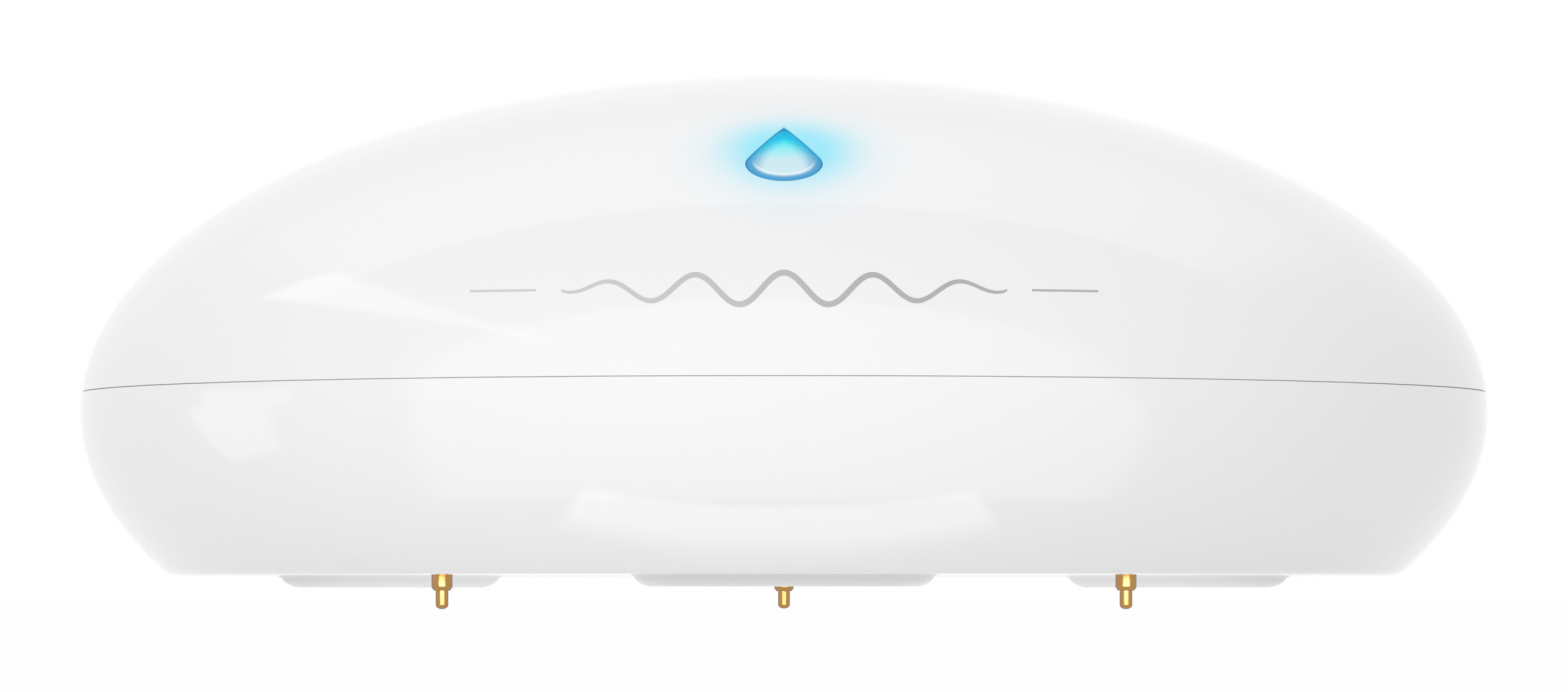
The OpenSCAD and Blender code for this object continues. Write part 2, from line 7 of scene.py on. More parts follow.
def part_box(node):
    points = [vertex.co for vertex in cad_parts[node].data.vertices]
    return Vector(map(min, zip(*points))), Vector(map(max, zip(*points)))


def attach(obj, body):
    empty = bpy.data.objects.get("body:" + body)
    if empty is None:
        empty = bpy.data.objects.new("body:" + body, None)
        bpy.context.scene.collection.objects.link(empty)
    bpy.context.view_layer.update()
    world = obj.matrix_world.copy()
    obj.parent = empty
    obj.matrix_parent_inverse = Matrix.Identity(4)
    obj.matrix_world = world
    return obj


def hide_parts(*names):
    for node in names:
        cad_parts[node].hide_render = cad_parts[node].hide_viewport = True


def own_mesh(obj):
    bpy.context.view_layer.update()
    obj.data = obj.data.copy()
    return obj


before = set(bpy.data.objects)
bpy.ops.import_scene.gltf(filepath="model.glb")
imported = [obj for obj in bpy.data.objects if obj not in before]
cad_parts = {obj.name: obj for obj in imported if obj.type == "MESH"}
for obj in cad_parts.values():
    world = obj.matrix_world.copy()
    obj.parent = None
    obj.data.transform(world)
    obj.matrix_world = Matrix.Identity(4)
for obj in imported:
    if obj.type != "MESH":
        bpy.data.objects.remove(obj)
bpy.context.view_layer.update()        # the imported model, in metres, standing on z = 0
mm = 0.001
scene = bpy.context.scene
scene.view_settings.view_transform = "Standard"


# the photographed view: almost at floor level, with a long lens
cameraSet = {"distance": 441.4, "height": 0.487, "lens": 197.5, "sensor": 36, "pitchUp": 1.688}


def addCamera():
    data = bpy.data.cameras.new("photoCamera")
    data.lens = cameraSet["lens"]
    data.sensor_width = cameraSet["sensor"]
    data.clip_start = 0.01
    camera = bpy.data.objects.new("photoCamera", data)
    camera.location = (0, -cameraSet["distance"]*mm, cameraSet["height"]*mm)
    camera.rotation_euler = (math.radians(90 + cameraSet["pitchUp"]), 0, 0)
    scene.collection.objects.link(camera)
    scene.camera = camera


addCamera()


# node helpers

def newNode(tree, kind, inputs=None, **settings):
    node = tree.nodes.new(kind)
    for key, value in settings.items():
        setattr(node, key, value)
    for key, value in (inputs or {}).items():
        if isinstance(value, bpy.types.NodeSocket):
            tree.links.new(value, node.inputs[key])
        else:
            node.inputs[key].default_value = value
    return node


def calc(tree, operation, first, second=0.0, third=0.0, clamp=False):
    node = newNode(tree, "ShaderNodeMath", {0: first, 1: second, 2: third}, operation=operation)
    node.use_clamp = clamp
    return node.outputs[0]


def times(tree, first, second):
    return calc(tree, "MULTIPLY", first, second)


def plus(tree, first, second):
    return calc(tree, "ADD", first, second)


def minus(tree, first, second):
    return calc(tree, "SUBTRACT", first, second)


def divide(tree, first, second, clamp=False):
    return calc(tree, "DIVIDE", first, second, clamp=clamp)


def timesPlus(tree, first, second, third):
    return calc(tree, "MULTIPLY_ADD", first, second, third)


def largest(tree, first, second):
    return calc(tree, "MAXIMUM", first, second)


def vectorSum(tree, operation, first, second=(0, 0, 0)):        # the number a vector sum gives
    return newNode(tree, "ShaderNodeVectorMath", {0: first, 1: second}, operation=operation).outputs["Value"]


def objectPlace(tree):
    return newNode(tree, "ShaderNodeTexCoord").outputs["Object"]


def axesOf(tree, vector):
    return newNode(tree, "ShaderNodeSeparateXYZ", {0: vector}).outputs


def fade(tree, value, start, end, low=0.0, high=1.0, smooth=True):
    kind = "SMOOTHSTEP" if smooth else "LINEAR"
    inputs = {"Value": value, "From Min": start, "From Max": end, "To Min": low, "To Max": high}
    return newNode(tree, "ShaderNodeMapRange", inputs, interpolation_type=kind).outputs["Result"]


def mixColor(tree, factor, first, second, blend="MIX"):
    node = newNode(tree, "ShaderNodeMix", data_type="RGBA", blend_type=blend)
    for key, value in ((0, factor), (6, first), (7, second)):
        if isinstance(value, bpy.types.NodeSocket):
            tree.links.new(value, node.inputs[key])
        elif key:
            node.inputs[key].default_value = (*value, 1)
        else:
            node.inputs[key].default_value = value
    return node.outputs[2]


def ramp(tree, value, stops):
    node = newNode(tree, "ShaderNodeValToRGB", {"Fac": value})
    elements = node.color_ramp.elements
    for i, (place, color) in enumerate(stops):
        element = elements[i] if i < 2 else elements.new(place)
        element.position = place
        element.color = (*color, 1)
    return node.outputs["Color"]


def tone(*rgb):        # a colour as the eye reads it, 0 to 255, in linear light
    return tuple(((v/255 + 0.055)/1.055)**2.4 if v > 10 else v/255/12.92 for v in rgb)


# studio: a white surround that lights softly, most from the front
studio = {"ambient": 0.224, "swing": (0.025, 0.363, 0.627)}
frontLight = {"level": 2.1, "from": (-0.17, -0.96, 0.22), "focus": 4.0}
floorSet = {"radius": 1.6, "segments": 96, "tone": (246, 246, 246), "grain": 40.0, "detail": 3.0,
            "drift": 1.02, "shown": 0.96, "lit": 0.2, "underLit": 0.66, "under": (0.024, 0.032)}

# what gloss mirrors besides the white: a roof, a wedge and a pane on the left,
# and a round light and an apron in front
leastSlope = 0.02
roofGlow = {"level": 0.41, "front": 0.34, "edge": 0.03, "back": 1.6, "side": 1.1, "sideFull": 0.66}
wedge = {"level": 0.75, "top": (1.157, 0.089), "bottom": (0.914, -0.120), "end": 0.61, "soft": 0.02}
pane = {"level": 0.75, "wallSides": (-0.07, 0.32), "wallTop": 0.11, "sides": (0.0, 0.40), "soft": 0.02,
        "near": -0.044, "nearSoft": 0.002, "spot": (-0.025, -0.025)}
apron = {"level": 1.4, "sides": (-0.0125, 0.0118), "reach": (-0.0364, -0.0340, -0.0316), "soft": 0.0004}
frontDisc = {"level": 0.75, "toward": (-0.06, -0.998, 0.03), "edge": (0.44, 0.56), "aside": 0.0015,
             "half": 0.017, "start": 0.0296, "slope": 1.73, "soft": 0.004, "near": (0.0368, 0.0380)}


def seenRay(tree):        # 1 where the camera, gloss or glass looks, 0 for plain light
    path = newNode(tree, "ShaderNodeLightPath").outputs
    seen = largest(tree, path["Is Camera Ray"], path["Is Glossy Ray"])
    return largest(tree, seen, path["Is Transmission Ray"]), path["Is Glossy Ray"]


def between(tree, value, low, high, soft):
    rise = fade(tree, value, low - soft, low + soft)
    return times(tree, rise, fade(tree, value, high + soft, high - soft))


def makeRoofGlow(tree, way):        # its edges are slopes, seen from the object
    x, y, z = axesOf(tree, way)
    up = largest(tree, z, leastSlope)
    back = divide(tree, y, up)
    side = calc(tree, "ABSOLUTE", divide(tree, x, up))
    front = roofGlow["front"]
    glow = times(tree, fade(tree, back, front, front + roofGlow["edge"]),
                 fade(tree, back, roofGlow["back"], front, 0.0, roofGlow["level"], False))
    return times(tree, glow, fade(tree, side, roofGlow["side"], roofGlow["sideFull"]))


def makeLeftShine(tree, way):        # the wedge and the pane, on a plane one step to the left
    x, y, z = axesOf(tree, way)
    left = largest(tree, times(tree, x, -1.0), leastSlope)
    u, w = divide(tree, y, left), divide(tree, z, left)
    topStart, topSlope = wedge["top"]
    lowStart, lowSlope = wedge["bottom"]
    soft = wedge["soft"]
    inside = times(tree, fade(tree, minus(tree, w, timesPlus(tree, u, topSlope, topStart)), soft, -soft),
                   fade(tree, minus(tree, w, timesPlus(tree, u, lowSlope, lowStart)), -soft, soft))
    inside = times(tree, inside, fade(tree, u, wedge["end"] + soft, wedge["end"] - soft))
    soft = pane["soft"]
    glass = times(tree, between(tree, u, *pane["wallSides"], soft),
                  fade(tree, w, pane["wallTop"] + soft, pane["wallTop"] - soft))
    return timesPlus(tree, inside, wedge["level"], times(tree, glass, pane["level"]))


def makeFrontShine(tree, way):
    facing = vectorSum(tree, "DOT_PRODUCT", way, frontDisc["toward"])
    return fade(tree, facing, *frontDisc["edge"], 0.0, frontDisc["level"])


def makeFloorShine(tree):        # the pane, the apron and the round light where the case mirrors the floor
    place = objectPlace(tree)
    x, y, z = axesOf(tree, place)
    out = largest(tree, minus(tree, pane["spot"][0], x), mm)
    slope = divide(tree, minus(tree, y, pane["spot"][1]), out)
    near, soft = pane["near"], pane["nearSoft"]
    glass = times(tree, between(tree, slope, *pane["sides"], pane["soft"]),
                  fade(tree, x, near + soft, near - soft))
    low, middle, high = apron["reach"]
    front = times(tree, between(tree, x, *apron["sides"], apron["soft"]),
                  fade(tree, y, low - apron["soft"], low + apron["soft"]))
    front = times(tree, front, fade(tree, y, high, middle, 0.0, apron["level"]))
    disc = frontDisc
    side = minus(tree, calc(tree, "ABSOLUTE", plus(tree, x, disc["aside"])), disc["half"])
    ahead = times(tree, plus(tree, y, disc["start"]), disc["slope"])
    fan = fade(tree, plus(tree, side, ahead), disc["soft"], -disc["soft"], 0.0, disc["level"])
    front = timesPlus(tree, fan, fade(tree, vectorSum(tree, "LENGTH", place), *disc["near"]), front)
    return timesPlus(tree, glass, pane["level"], front)


def addWorld():
    world = bpy.data.worlds.new("whiteStudio")
    scene.world = world
    world.use_nodes = True
    tree = world.node_tree
    background = tree.nodes["Background"]
    background.inputs["Color"].default_value = (1, 1, 1, 1)
    way = newNode(tree, "ShaderNodeTexCoord").outputs["Generated"]
    lean = plus(tree, vectorSum(tree, "DOT_PRODUCT", way, studio["swing"]), studio["ambient"])
    facing = largest(tree, vectorSum(tree, "DOT_PRODUCT", way, frontLight["from"]), 0.0)
    lobe = calc(tree, "POWER", facing, frontLight["focus"])
    light = largest(tree, timesPlus(tree, lobe, frontLight["level"], lean), 0.0)
    seen, gloss = seenRay(tree)
    shine = plus(tree, makeRoofGlow(tree, way), makeLeftShine(tree, way))
    shine = plus(tree, shine, makeFrontShine(tree, way))
    shown = timesPlus(tree, shine, gloss, seen)
    strength = timesPlus(tree, light, minus(tree, 1.0, seen), shown)
    tree.links.new(strength, background.inputs["Strength"])


def makePaper():        # a light table: shown nearly white, and it lights the object from below
    paper = bpy.data.materials.new("studioPaper")
    paper.use_nodes = True
    tree = paper.node_tree
    tree.nodes.clear()
    grain = newNode(tree, "ShaderNodeTexNoise", {"Scale": floorSet["grain"], "Detail": floorSet["detail"]})
    low = tone(*floorSet["tone"])
    color = mixColor(tree, grain.outputs["Fac"], low, tuple(min(1, v*floorSet["drift"]) for v in low))
    matte = newNode(tree, "ShaderNodeBsdfDiffuse", {"Color": color})
    seen, gloss = seenRay(tree)
    strength = timesPlus(tree, makeFloorShine(tree), gloss, 1.0)
    white = newNode(tree, "ShaderNodeEmission", {"Strength": strength})
    away = vectorSum(tree, "LENGTH", objectPlace(tree))
    lit = fade(tree, away, *floorSet["under"], floorSet["underLit"], floorSet["lit"])
    share = fade(tree, seen, 0.0, 1.0, lit, floorSet["shown"], False)
    mix = newNode(tree, "ShaderNodeMixShader", {0: share, 1: matte.outputs[0], 2: white.outputs[0]})
    newNode(tree, "ShaderNodeOutputMaterial", {"Surface": mix.outputs[0]})
    return paper


def addFloor():
    bm = bmesh.new()
    bmesh.ops.create_circle(bm, cap_ends=True, segments=floorSet["segments"], radius=floorSet["radius"])
    mesh = bpy.data.meshes.new("studioFloor")
    bm.to_mesh(mesh)
    bm.free()
    mesh.materials.append(makePaper())
    floor = bpy.data.objects.new("studioFloor", mesh)
    scene.collection.objects.link(floor)


addWorld()
addFloor()
print("studio ready")


# shared effect: slow colour drift, uneven gloss and a fine surface grain
grainSet = {"wideDetail": 3.0, "fineDetail": 2.0, "fineTimes": 24.0, "mix": 0.5, "leastRough": 0.02}


def makeGrainGroup():
    group = bpy.data.node_groups.new("surfaceGrain", "ShaderNodeTree")
    sockets = (("Color", "INPUT", "Color"), ("Drift", "INPUT", "Float"), ("Rough", "INPUT", "Float"),
               ("Rough Spread", "INPUT", "Float"), ("Scale", "INPUT", "Float"), ("Tint", "OUTPUT", "Color"),
               ("Roughness", "OUTPUT", "Float"), ("Height", "OUTPUT", "Float"))
    for name, way, kind in sockets:
        group.interface.new_socket(name=name, in_out=way, socket_type="NodeSocket" + kind)
    enter = group.nodes.new("NodeGroupInput").outputs
    leave = group.nodes.new("NodeGroupOutput").inputs
    place = objectPlace(group)
    half = grainSet["mix"]

    def noise(scale, detail):
        inputs = {"Vector": place, "Scale": scale, "Detail": detail}
        return newNode(group, "ShaderNodeTexNoise", inputs).outputs["Fac"]

    swing = minus(group, noise(enter["Scale"], grainSet["wideDetail"]), 0.5)
    fine = noise(times(group, enter["Scale"], grainSet["fineTimes"]), grainSet["fineDetail"])
    gain = timesPlus(group, swing, enter["Drift"], 1.0)
    grey = newNode(group, "ShaderNodeCombineColor", {0: gain, 1: gain, 2: gain})
    group.links.new(mixColor(group, 1.0, enter["Color"], grey.outputs[0], "MULTIPLY"), leave["Tint"])
    both = minus(group, timesPlus(group, fine, half, times(group, swing, half)), half/2)
    rough = timesPlus(group, both, enter["Rough Spread"], enter["Rough"])
    group.links.new(largest(group, rough, grainSet["leastRough"]), leave["Roughness"])
    group.links.new(fine, leave["Height"])
    return group


grainGroup = makeGrainGroup()


def makeSurface(name, color, drift=0.05, rough=0.4, spread=0.1, scale=120.0, bump=0.0, settings=None):
    material = bpy.data.materials.new(name)
    material.use_nodes = True
    tree = material.node_tree
    shader = tree.nodes["Principled BSDF"]
    grain = newNode(tree, "ShaderNodeGroup", node_tree=grainGroup)
    for key, value in (("Color", (*color, 1)), ("Drift", drift), ("Rough", rough),
                       ("Rough Spread", spread), ("Scale", scale)):
        grain.inputs[key].default_value = value
    tree.links.new(grain.outputs["Tint"], shader.inputs["Base Color"])
    tree.links.new(grain.outputs["Roughness"], shader.inputs["Roughness"])
    if bump:
        relief = newNode(tree, "ShaderNodeBump", {"Height": grain.outputs["Height"], "Distance": bump*mm})
        tree.links.new(relief.outputs["Normal"], shader.inputs["Normal"])
    for key, value in (settings or {}).items():
        shader.inputs[key].default_value = value
    return material, tree, shader, grain


# mesh helpers
weld = {"merge": 1e-7, "thin": 1e-8}
sharpAngle = 35
corners = {"leastBend": 25, "share": 0.4}


def shadeMesh(mesh, sharp=sharpAngle):
    mesh.shade_smooth()
    mesh.set_sharp_from_angle(angle=math.radians(sharp))


def finishPiece(name, bm, material, body, nodes=(), sharp=sharpAngle):
    bmesh.ops.remove_doubles(bm, verts=bm.verts, dist=weld["merge"])
    bmesh.ops.dissolve_degenerate(bm, edges=bm.edges, dist=weld["thin"])
    bmesh.ops.recalc_face_normals(bm, faces=bm.faces)
    mesh = bpy.data.meshes.new(name)
    bm.to_mesh(mesh)
    bm.free()
    shadeMesh(mesh, sharp)
    mesh.materials.append(material)
    piece = bpy.data.objects.new(name, mesh)
    scene.collection.objects.link(piece)
    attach(piece, body)
    if nodes:
        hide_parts(*nodes)
    return piece


def carve(piece, bm, crossing=False):        # cuts the shape in bm out of a piece, for good
    mesh = bpy.data.meshes.new("cutter")
    bmesh.ops.recalc_face_normals(bm, faces=bm.faces)
    bm.to_mesh(mesh)
    bm.free()
    cutter = bpy.data.objects.new("cutter", mesh)
    scene.collection.objects.link(cutter)
    cut = piece.modifiers.new("cut", "BOOLEAN")
    cut.operation = "DIFFERENCE"
    cut.solver = "EXACT"
    cut.use_self = crossing
    cut.object = cutter
    done = bpy.data.meshes.new_from_object(piece.evaluated_get(bpy.context.evaluated_depsgraph_get()))
    piece.modifiers.clear()
    old = piece.data
    done.name = old.name
    piece.data = done
    bpy.data.objects.remove(cutter)
    bpy.data.meshes.remove(old)
    bpy.data.meshes.remove(mesh)
    shadeMesh(done)


def spinOutline(bm, points, steps=192, middle=(0, 0)):        # points are (radius, height)
    x, y = middle
    ring = [bm.verts.new(Vector((x + r, y, z))*mm) for r, z in points]
    edges = [bm.edges.new(pair) for pair in zip(ring, ring[1:])]
    bmesh.ops.spin(bm, geom=ring + edges, cent=(x*mm, y*mm, 0), axis=(0, 0, 1),
                   angle=2*math.pi, steps=steps, use_merge=True)


def pour(bm, part):
    mesh = bpy.data.meshes.new("part")
    part.to_mesh(mesh)
    part.free()
    bm.from_mesh(mesh)
    bpy.data.meshes.remove(mesh)


def addRound(bm, middle, points, steps=48):        # points are (radius, height over middle.z)
    part = bmesh.new()
    spinOutline(part, [(r, middle[2] + z) for r, z in points], steps, (middle[0], middle[1]))
    bmesh.ops.remove_doubles(part, verts=part.verts, dist=weld["merge"])
    pour(bm, part)


def extend(piece, *adders):        # joins more shapes to a finished piece
    bm = bmesh.new()
    bm.from_mesh(piece.data)
    for add in adders:
        add(bm)
    bmesh.ops.remove_doubles(bm, verts=bm.verts, dist=weld["merge"])
    bmesh.ops.recalc_face_normals(bm, faces=bm.faces)
    bm.to_mesh(piece.data)
    bm.free()
    shadeMesh(piece.data)


def softCorners(points, radius, steps=3):        # rounds the corners of an outline of (r, z) points
    done = [points[0]]
    for before, here, after in zip(points, points[1:], points[2:]):
        a, b, c = Vector(before), Vector(here), Vector(after)
        if (b - a).angle(c - b, 0) < math.radians(corners["leastBend"]):
            done.append(here)
            continue
        reach = min(radius, corners["share"]*(b - a).length, corners["share"]*(c - b).length)
        p, q = b - (b - a).normalized()*reach, b + (c - b).normalized()*reach
        done += [curl(p, b, q, i/steps) for i in range(steps + 1)]
    return done + [points[-1]]


def curl(first, corner, last, t):        # a point of the curve that rounds a corner
    return tuple(first*(1 - t)**2 + corner*2*t*(1 - t) + last*t*t)


def bevelEdges(bm, edges, offset, segments):
    return bmesh.ops.bevel(bm, geom=edges, offset=offset*mm, segments=segments, profile=0.5, affect="EDGES",
                           material=-1)["verts"]


# the case: an oval of revolution, cut flat underneath and parted at the seam
case = {
    "domeRise": 17.2, "wall": 2.0, "seamUp": 0.96, "seamWidth": 0.06, "seamDepth": 0.08, "seamGap": 0.004,
    "underEdge": 0.3, "steps": 72, "rimLand": 34.6, "rimInner": 31.61, "rimThick": 1.6, "rimGap": 0.08,
    "skirtOuter": 31.51, "skirtInner": 30.11, "skirtEdge": 0.25, "lipEdge": 0.2,
    "collarOuter": 28.61, "collarInner": 27.01, "collarEdge": 0.3, "skin": 0.985, "underSkin": 0.4,
}
caseWhite = {"tone": (244, 244, 245), "drift": 0.012, "rough": 0.085, "spread": 0.03, "scale": 60.0,
             "bump": 0.0002, "insideMatte": 0.42, "glowShare": 0.12}
baseLow, baseHigh = (v/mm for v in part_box("base_shell"))
coverLow, coverHigh = (v/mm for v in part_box("top_cover"))
caseRadius = baseHigh.x
domeTop = coverHigh.z
midHeight = domeTop - case["domeRise"]
seamHeight = midHeight + case["seamUp"]
floorHeight = baseLow.z + case["wall"]
innerRadius = caseRadius - case["wall"]
innerRise = case["domeRise"] - case["wall"]


def ovalArc(radius, rise, start, end, steps):
    turns = (start + (end - start)*i/steps for i in range(steps + 1))
    return [(radius*math.cos(t), midHeight + rise*math.sin(t)) for t in turns]


def ovalTurn(rise, z):
    return math.asin((z - midHeight)/rise)


def domeRadius(z):
    return caseRadius*math.cos(ovalTurn(case["domeRise"], z))


def makeCaseWhite(name, glow=None):
    w = caseWhite
    settings = {"IOR": 1.47, "Coat Weight": 0.25, "Coat Roughness": 0.03}
    material, tree, shader, grain = makeSurface(name, tone(*w["tone"]), w["drift"], w["rough"], w["spread"],
                                                w["scale"], w["bump"], settings)
    inside = newNode(tree, "ShaderNodeAttribute", attribute_name="inside").outputs["Fac"]
    matte = timesPlus(tree, inside, w["insideMatte"], grain.outputs["Roughness"])
    tree.links.new(matte, shader.inputs["Roughness"])
    if glow:
        lit, share = glow(tree)
        tree.links.new(mixColor(tree, share, grain.outputs["Tint"], lit), shader.inputs["Base Color"])
        tree.links.new(mixColor(tree, share, (0, 0, 0), lit), shader.inputs["Emission Color"])
        shader.inputs["Emission Strength"].default_value = w["glowShare"]
    return material


def markInside(piece):        # faces that the shut case hides have a plain moulded finish
    mark = piece.data.attributes.new("inside", "FLOAT", "FACE")
    for polygon in piece.data.polygons:
        x, y, z = polygon.center/mm
        reach = math.hypot(math.hypot(x, y)/caseRadius, (z - midHeight)/case["domeRise"])
        shown = reach > case["skin"] or z < baseLow.z + case["underSkin"]
        mark.data[polygon.index].value = 0.0 if shown else 1.0


# the drop: a round end and two straight sides that meet in a point up the dome
drop = {"length": 6.5, "width": 3.64, "edgeIn": 10.4, "clear": 0.05, "proud": 0.30, "deep": 1.7, "rings": 22,
        "arc": 72, "side": 9, "cut": (-4, 2), "heartUp": 0.25, "swellPower": 2.4, "dip": 0.05, "dipPower": 14}
dropY = caseRadius - drop["edgeIn"]
dropZ = midHeight + case["domeRise"]*math.sqrt(1 - (dropY/caseRadius)**2)
dropTilt = math.atan((dropY/caseRadius**2)/((dropZ - midHeight)/case["domeRise"]**2))
dropFrame = Matrix.Translation((0, -dropY*mm, dropZ*mm)) @ Matrix.Rotation(dropTilt, 4, "X")
dropRound = drop["width"]/2
dropMiddle = dropRound - drop["length"]/2


def dropOutline(bm, grow=0.0):
    radius = dropRound + grow
    half = math.asin(dropRound/(drop["length"] - dropRound))
    side = drop["side"]        # points along each straight side
    tip = Vector((0, dropMiddle + radius/math.sin(half)))
    turns = [math.pi/2 - half + (math.pi + 2*half)*i/drop["arc"] for i in range(drop["arc"] + 1)]
    bow = [Vector((radius*math.sin(t), dropMiddle + radius*math.cos(t))) for t in turns]
    points = [tip.lerp(bow[0], i/side) for i in range(side)] + bow
    points += [bow[-1].lerp(tip, i/side) for i in range(1, side)]
    verts = [bm.verts.new((p.x*mm, p.y*mm, 0)) for p in points]
    return verts, [bm.edges.new(pair) for pair in zip(verts, verts[1:] + verts[:1])]


def domeLift(x, y):        # height of the dome over a point of the drop's plane, in mm
    lift = 0.0
    for _ in range(12):
        p = dropFrame @ Vector((x*mm, y*mm, lift*mm))/mm
        reach = (p.x**2 + p.y**2)/caseRadius**2 + (p.z - midHeight)**2/case["domeRise"]**2
        up = dropFrame.to_3x3() @ Vector((0, 0, 1))
        slope = 2*(p.x*up.x + p.y*up.y)/caseRadius**2 + 2*(p.z - midHeight)*up.z/case["domeRise"]**2
        lift -= (reach - 1)/slope
    return lift


def dropGlow(tree):        # the light that spills from the drop into the white shell round it
    spread = {"across": 2.6, "along": 3.2, "aside": 0.23, "up": 0.33, "full": 0.6, "fall": 0.75, "power": 1.7,
              "peak": 0.82, "color": tone(60, 213, 237), "depth": (-4, -2)}
    inputs = {"Vector": objectPlace(tree), "Location": dropFrame.translation, "Rotation": (dropTilt, 0, 0)}
    local = newNode(tree, "ShaderNodeMapping", inputs, vector_type="TEXTURE")
    axes = axesOf(tree, local.outputs[0])
    across = divide(tree, minus(tree, axes["X"], spread["aside"]*mm), spread["across"]*mm)
    along = divide(tree, minus(tree, axes["Y"], spread["up"]*mm), spread["along"]*mm)
    reach = calc(tree, "SQRT", plus(tree, times(tree, across, across), times(tree, along, along)))
    away = largest(tree, minus(tree, reach, spread["full"]), 0.0)
    away = calc(tree, "POWER", divide(tree, away, spread["fall"]), spread["power"])
    near = times(tree, calc(tree, "POWER", math.exp(-1), away), spread["peak"])
    front = fade(tree, axes["Z"], *(v*mm for v in spread["depth"]))
    return spread["color"], times(tree, near, front)


def makeCover():
    rise = case["domeRise"]
    groove = case["seamWidth"]/2
    rim = seamHeight + case["seamGap"]/2
    z = coverLow.z
    outer = ovalArc(caseRadius, rise, math.pi/2, ovalTurn(rise, seamHeight + groove), case["steps"])
    shoulder = [(domeRadius(rim) - case["seamDepth"], rim)]
    hidden = [(case["rimLand"], rim), (case["rimLand"], z)]
    turnOut, turnIn = math.acos(case["skirtOuter"]/innerRadius), math.acos(case["skirtInner"]/innerRadius)
    wallIn = ovalArc(innerRadius, innerRise, ovalTurn(innerRise, z), turnOut, 16)
    skirt = softCorners([wallIn[-1], (case["skirtOuter"], z), (case["skirtInner"], z),
                         (case["skirtInner"], midHeight + innerRise*math.sin(turnIn))], case["skirtEdge"])
    dome = ovalArc(innerRadius, innerRise, turnIn, math.pi/2, 40)
    bm = bmesh.new()
    spinOutline(bm, outer + shoulder + hidden + wallIn + skirt[1:-1] + dome)
    addPins(bm)
    white = makeCaseWhite("caseWhiteLit", dropGlow)
    piece = finishPiece("coverShell", bm, white, "cover", ("top_cover",))
    low, high = drop["cut"]
    opening = bmesh.new()
    verts, edges = dropOutline(opening, drop["clear"])
    face = bmesh.ops.contextual_create(opening, geom=edges)["faces"]
    side = bmesh.ops.extrude_face_region(opening, geom=face)["geom"]
    top = [v for v in side if isinstance(v, bmesh.types.BMVert)]
    bmesh.ops.translate(opening, verts=top, vec=(0, 0, (high - low)*mm))
    bmesh.ops.translate(opening, verts=opening.verts, vec=(0, 0, low*mm))
    bmesh.ops.transform(opening, matrix=dropFrame, verts=opening.verts)
    carve(piece, opening)
    markInside(piece)


pins = {"angles": (30, 150, 270), "radius": 0.7, "height": 12.33, "inner": 28.91, "outer": 30.8, "edge": 0.15}


def addPins(bm):
    length = pins["outer"] - pins["inner"]
    for angle in pins["angles"]:
        made = bmesh.ops.create_cone(bm, cap_ends=True, segments=32, radius1=pins["radius"]*mm,
                                     radius2=pins["radius"]*mm, depth=length*mm)["verts"]
        rims = [e for e in {e for v in made for e in v.link_edges} if len(e.link_faces) == 2
                and any(len(f.verts) > 4 for f in e.link_faces) and all(v.co.z < 0 for v in e.verts)]
        soft = bevelEdges(bm, rims, pins["edge"], 3)
        made = [v for v in {*made, *soft} if v.is_valid]
        place = (Matrix.Rotation(math.radians(angle), 4, "Z")
                 @ Matrix.Translation(((pins["inner"] + length/2)*mm, 0, pins["height"]*mm))
                 @ Matrix.Rotation(math.pi/2, 4, "Y"))
        bmesh.ops.transform(bm, matrix=place, verts=made)


ridges = {"angles": (30, 150, 270), "back": 8, "sweep": 32, "steps": 24, "inner": 27.9, "outer": 29.81,
          "low": 12.563, "thick": 1.0, "slant": 0.12, "lead": 30.0}
bosses = {"probeRing": 19.8, "probeAngles": (90, 210, 330), "probeRadius": 1.58, "probeTop": 5.78,
          "screwRing": 23.31, "screwAngles": (79, 222, 318), "screwRadius": 2.0, "screwTop": 6.40,
          "probeHole": 0.58, "sealPocket": 1.18, "pocketLow": 5.25, "sink": 0.5, "flare": 0.15,
          "flareTall": 1.0, "edge": 0.15}


def addRidges(bm):        # three short helical ridges that hold the cover's pins
    rise = ridges["lead"]*ridges["sweep"]/360/ridges["steps"]
    low, high, slant = ridges["low"], ridges["low"] + ridges["thick"], ridges["slant"]
    outline = ((ridges["inner"], low), (ridges["outer"], low + slant), (ridges["outer"], high - slant),
               (ridges["inner"], high))
    for angle in ridges["angles"]:
        turn = Matrix.Rotation(math.radians(angle - ridges["back"]), 4, "Z")
        verts = [bm.verts.new(turn @ Vector((r*mm, 0, z*mm))) for r, z in outline]
        face = bm.faces.new(verts)
        bmesh.ops.spin(bm, geom=[face], cent=(0, 0, 0), axis=(0, 0, 1), angle=math.radians(ridges["sweep"]),
                       steps=ridges["steps"], dvec=(0, 0, rise*mm))


def ringSpots(kind):        # places of the probes or the board's screws
    turns = (math.radians(angle) for angle in bosses[kind + "Angles"])
    return [(bosses[kind + "Ring"]*math.cos(t), bosses[kind + "Ring"]*math.sin(t)) for t in turns]


def addBosses(bm):
    b = bosses
    low = floorHeight - b["sink"]
    neck = low + b["flareTall"]
    hole, pocket, step = b["probeHole"], b["sealPocket"], b["pocketLow"]
    radius, top = b["probeRadius"], b["probeTop"]
    tube = softCorners([(radius + b["flare"], low), (radius, neck), (radius, top), (pocket, top),
                        (pocket, step)], b["edge"])
    tube += [(hole, step), (hole, low), (radius + b["flare"], low)]
    for x, y in ringSpots("probe"):
        addRound(bm, (x, y, 0), tube, 40)
    radius, top = b["screwRadius"], b["screwTop"]
    post = softCorners([(0, low), (radius + b["flare"], low), (radius, neck), (radius, top), (0, top)],
                       b["edge"])
    for x, y in ringSpots("screw"):
        addRound(bm, (x, y, 0), post, 40)


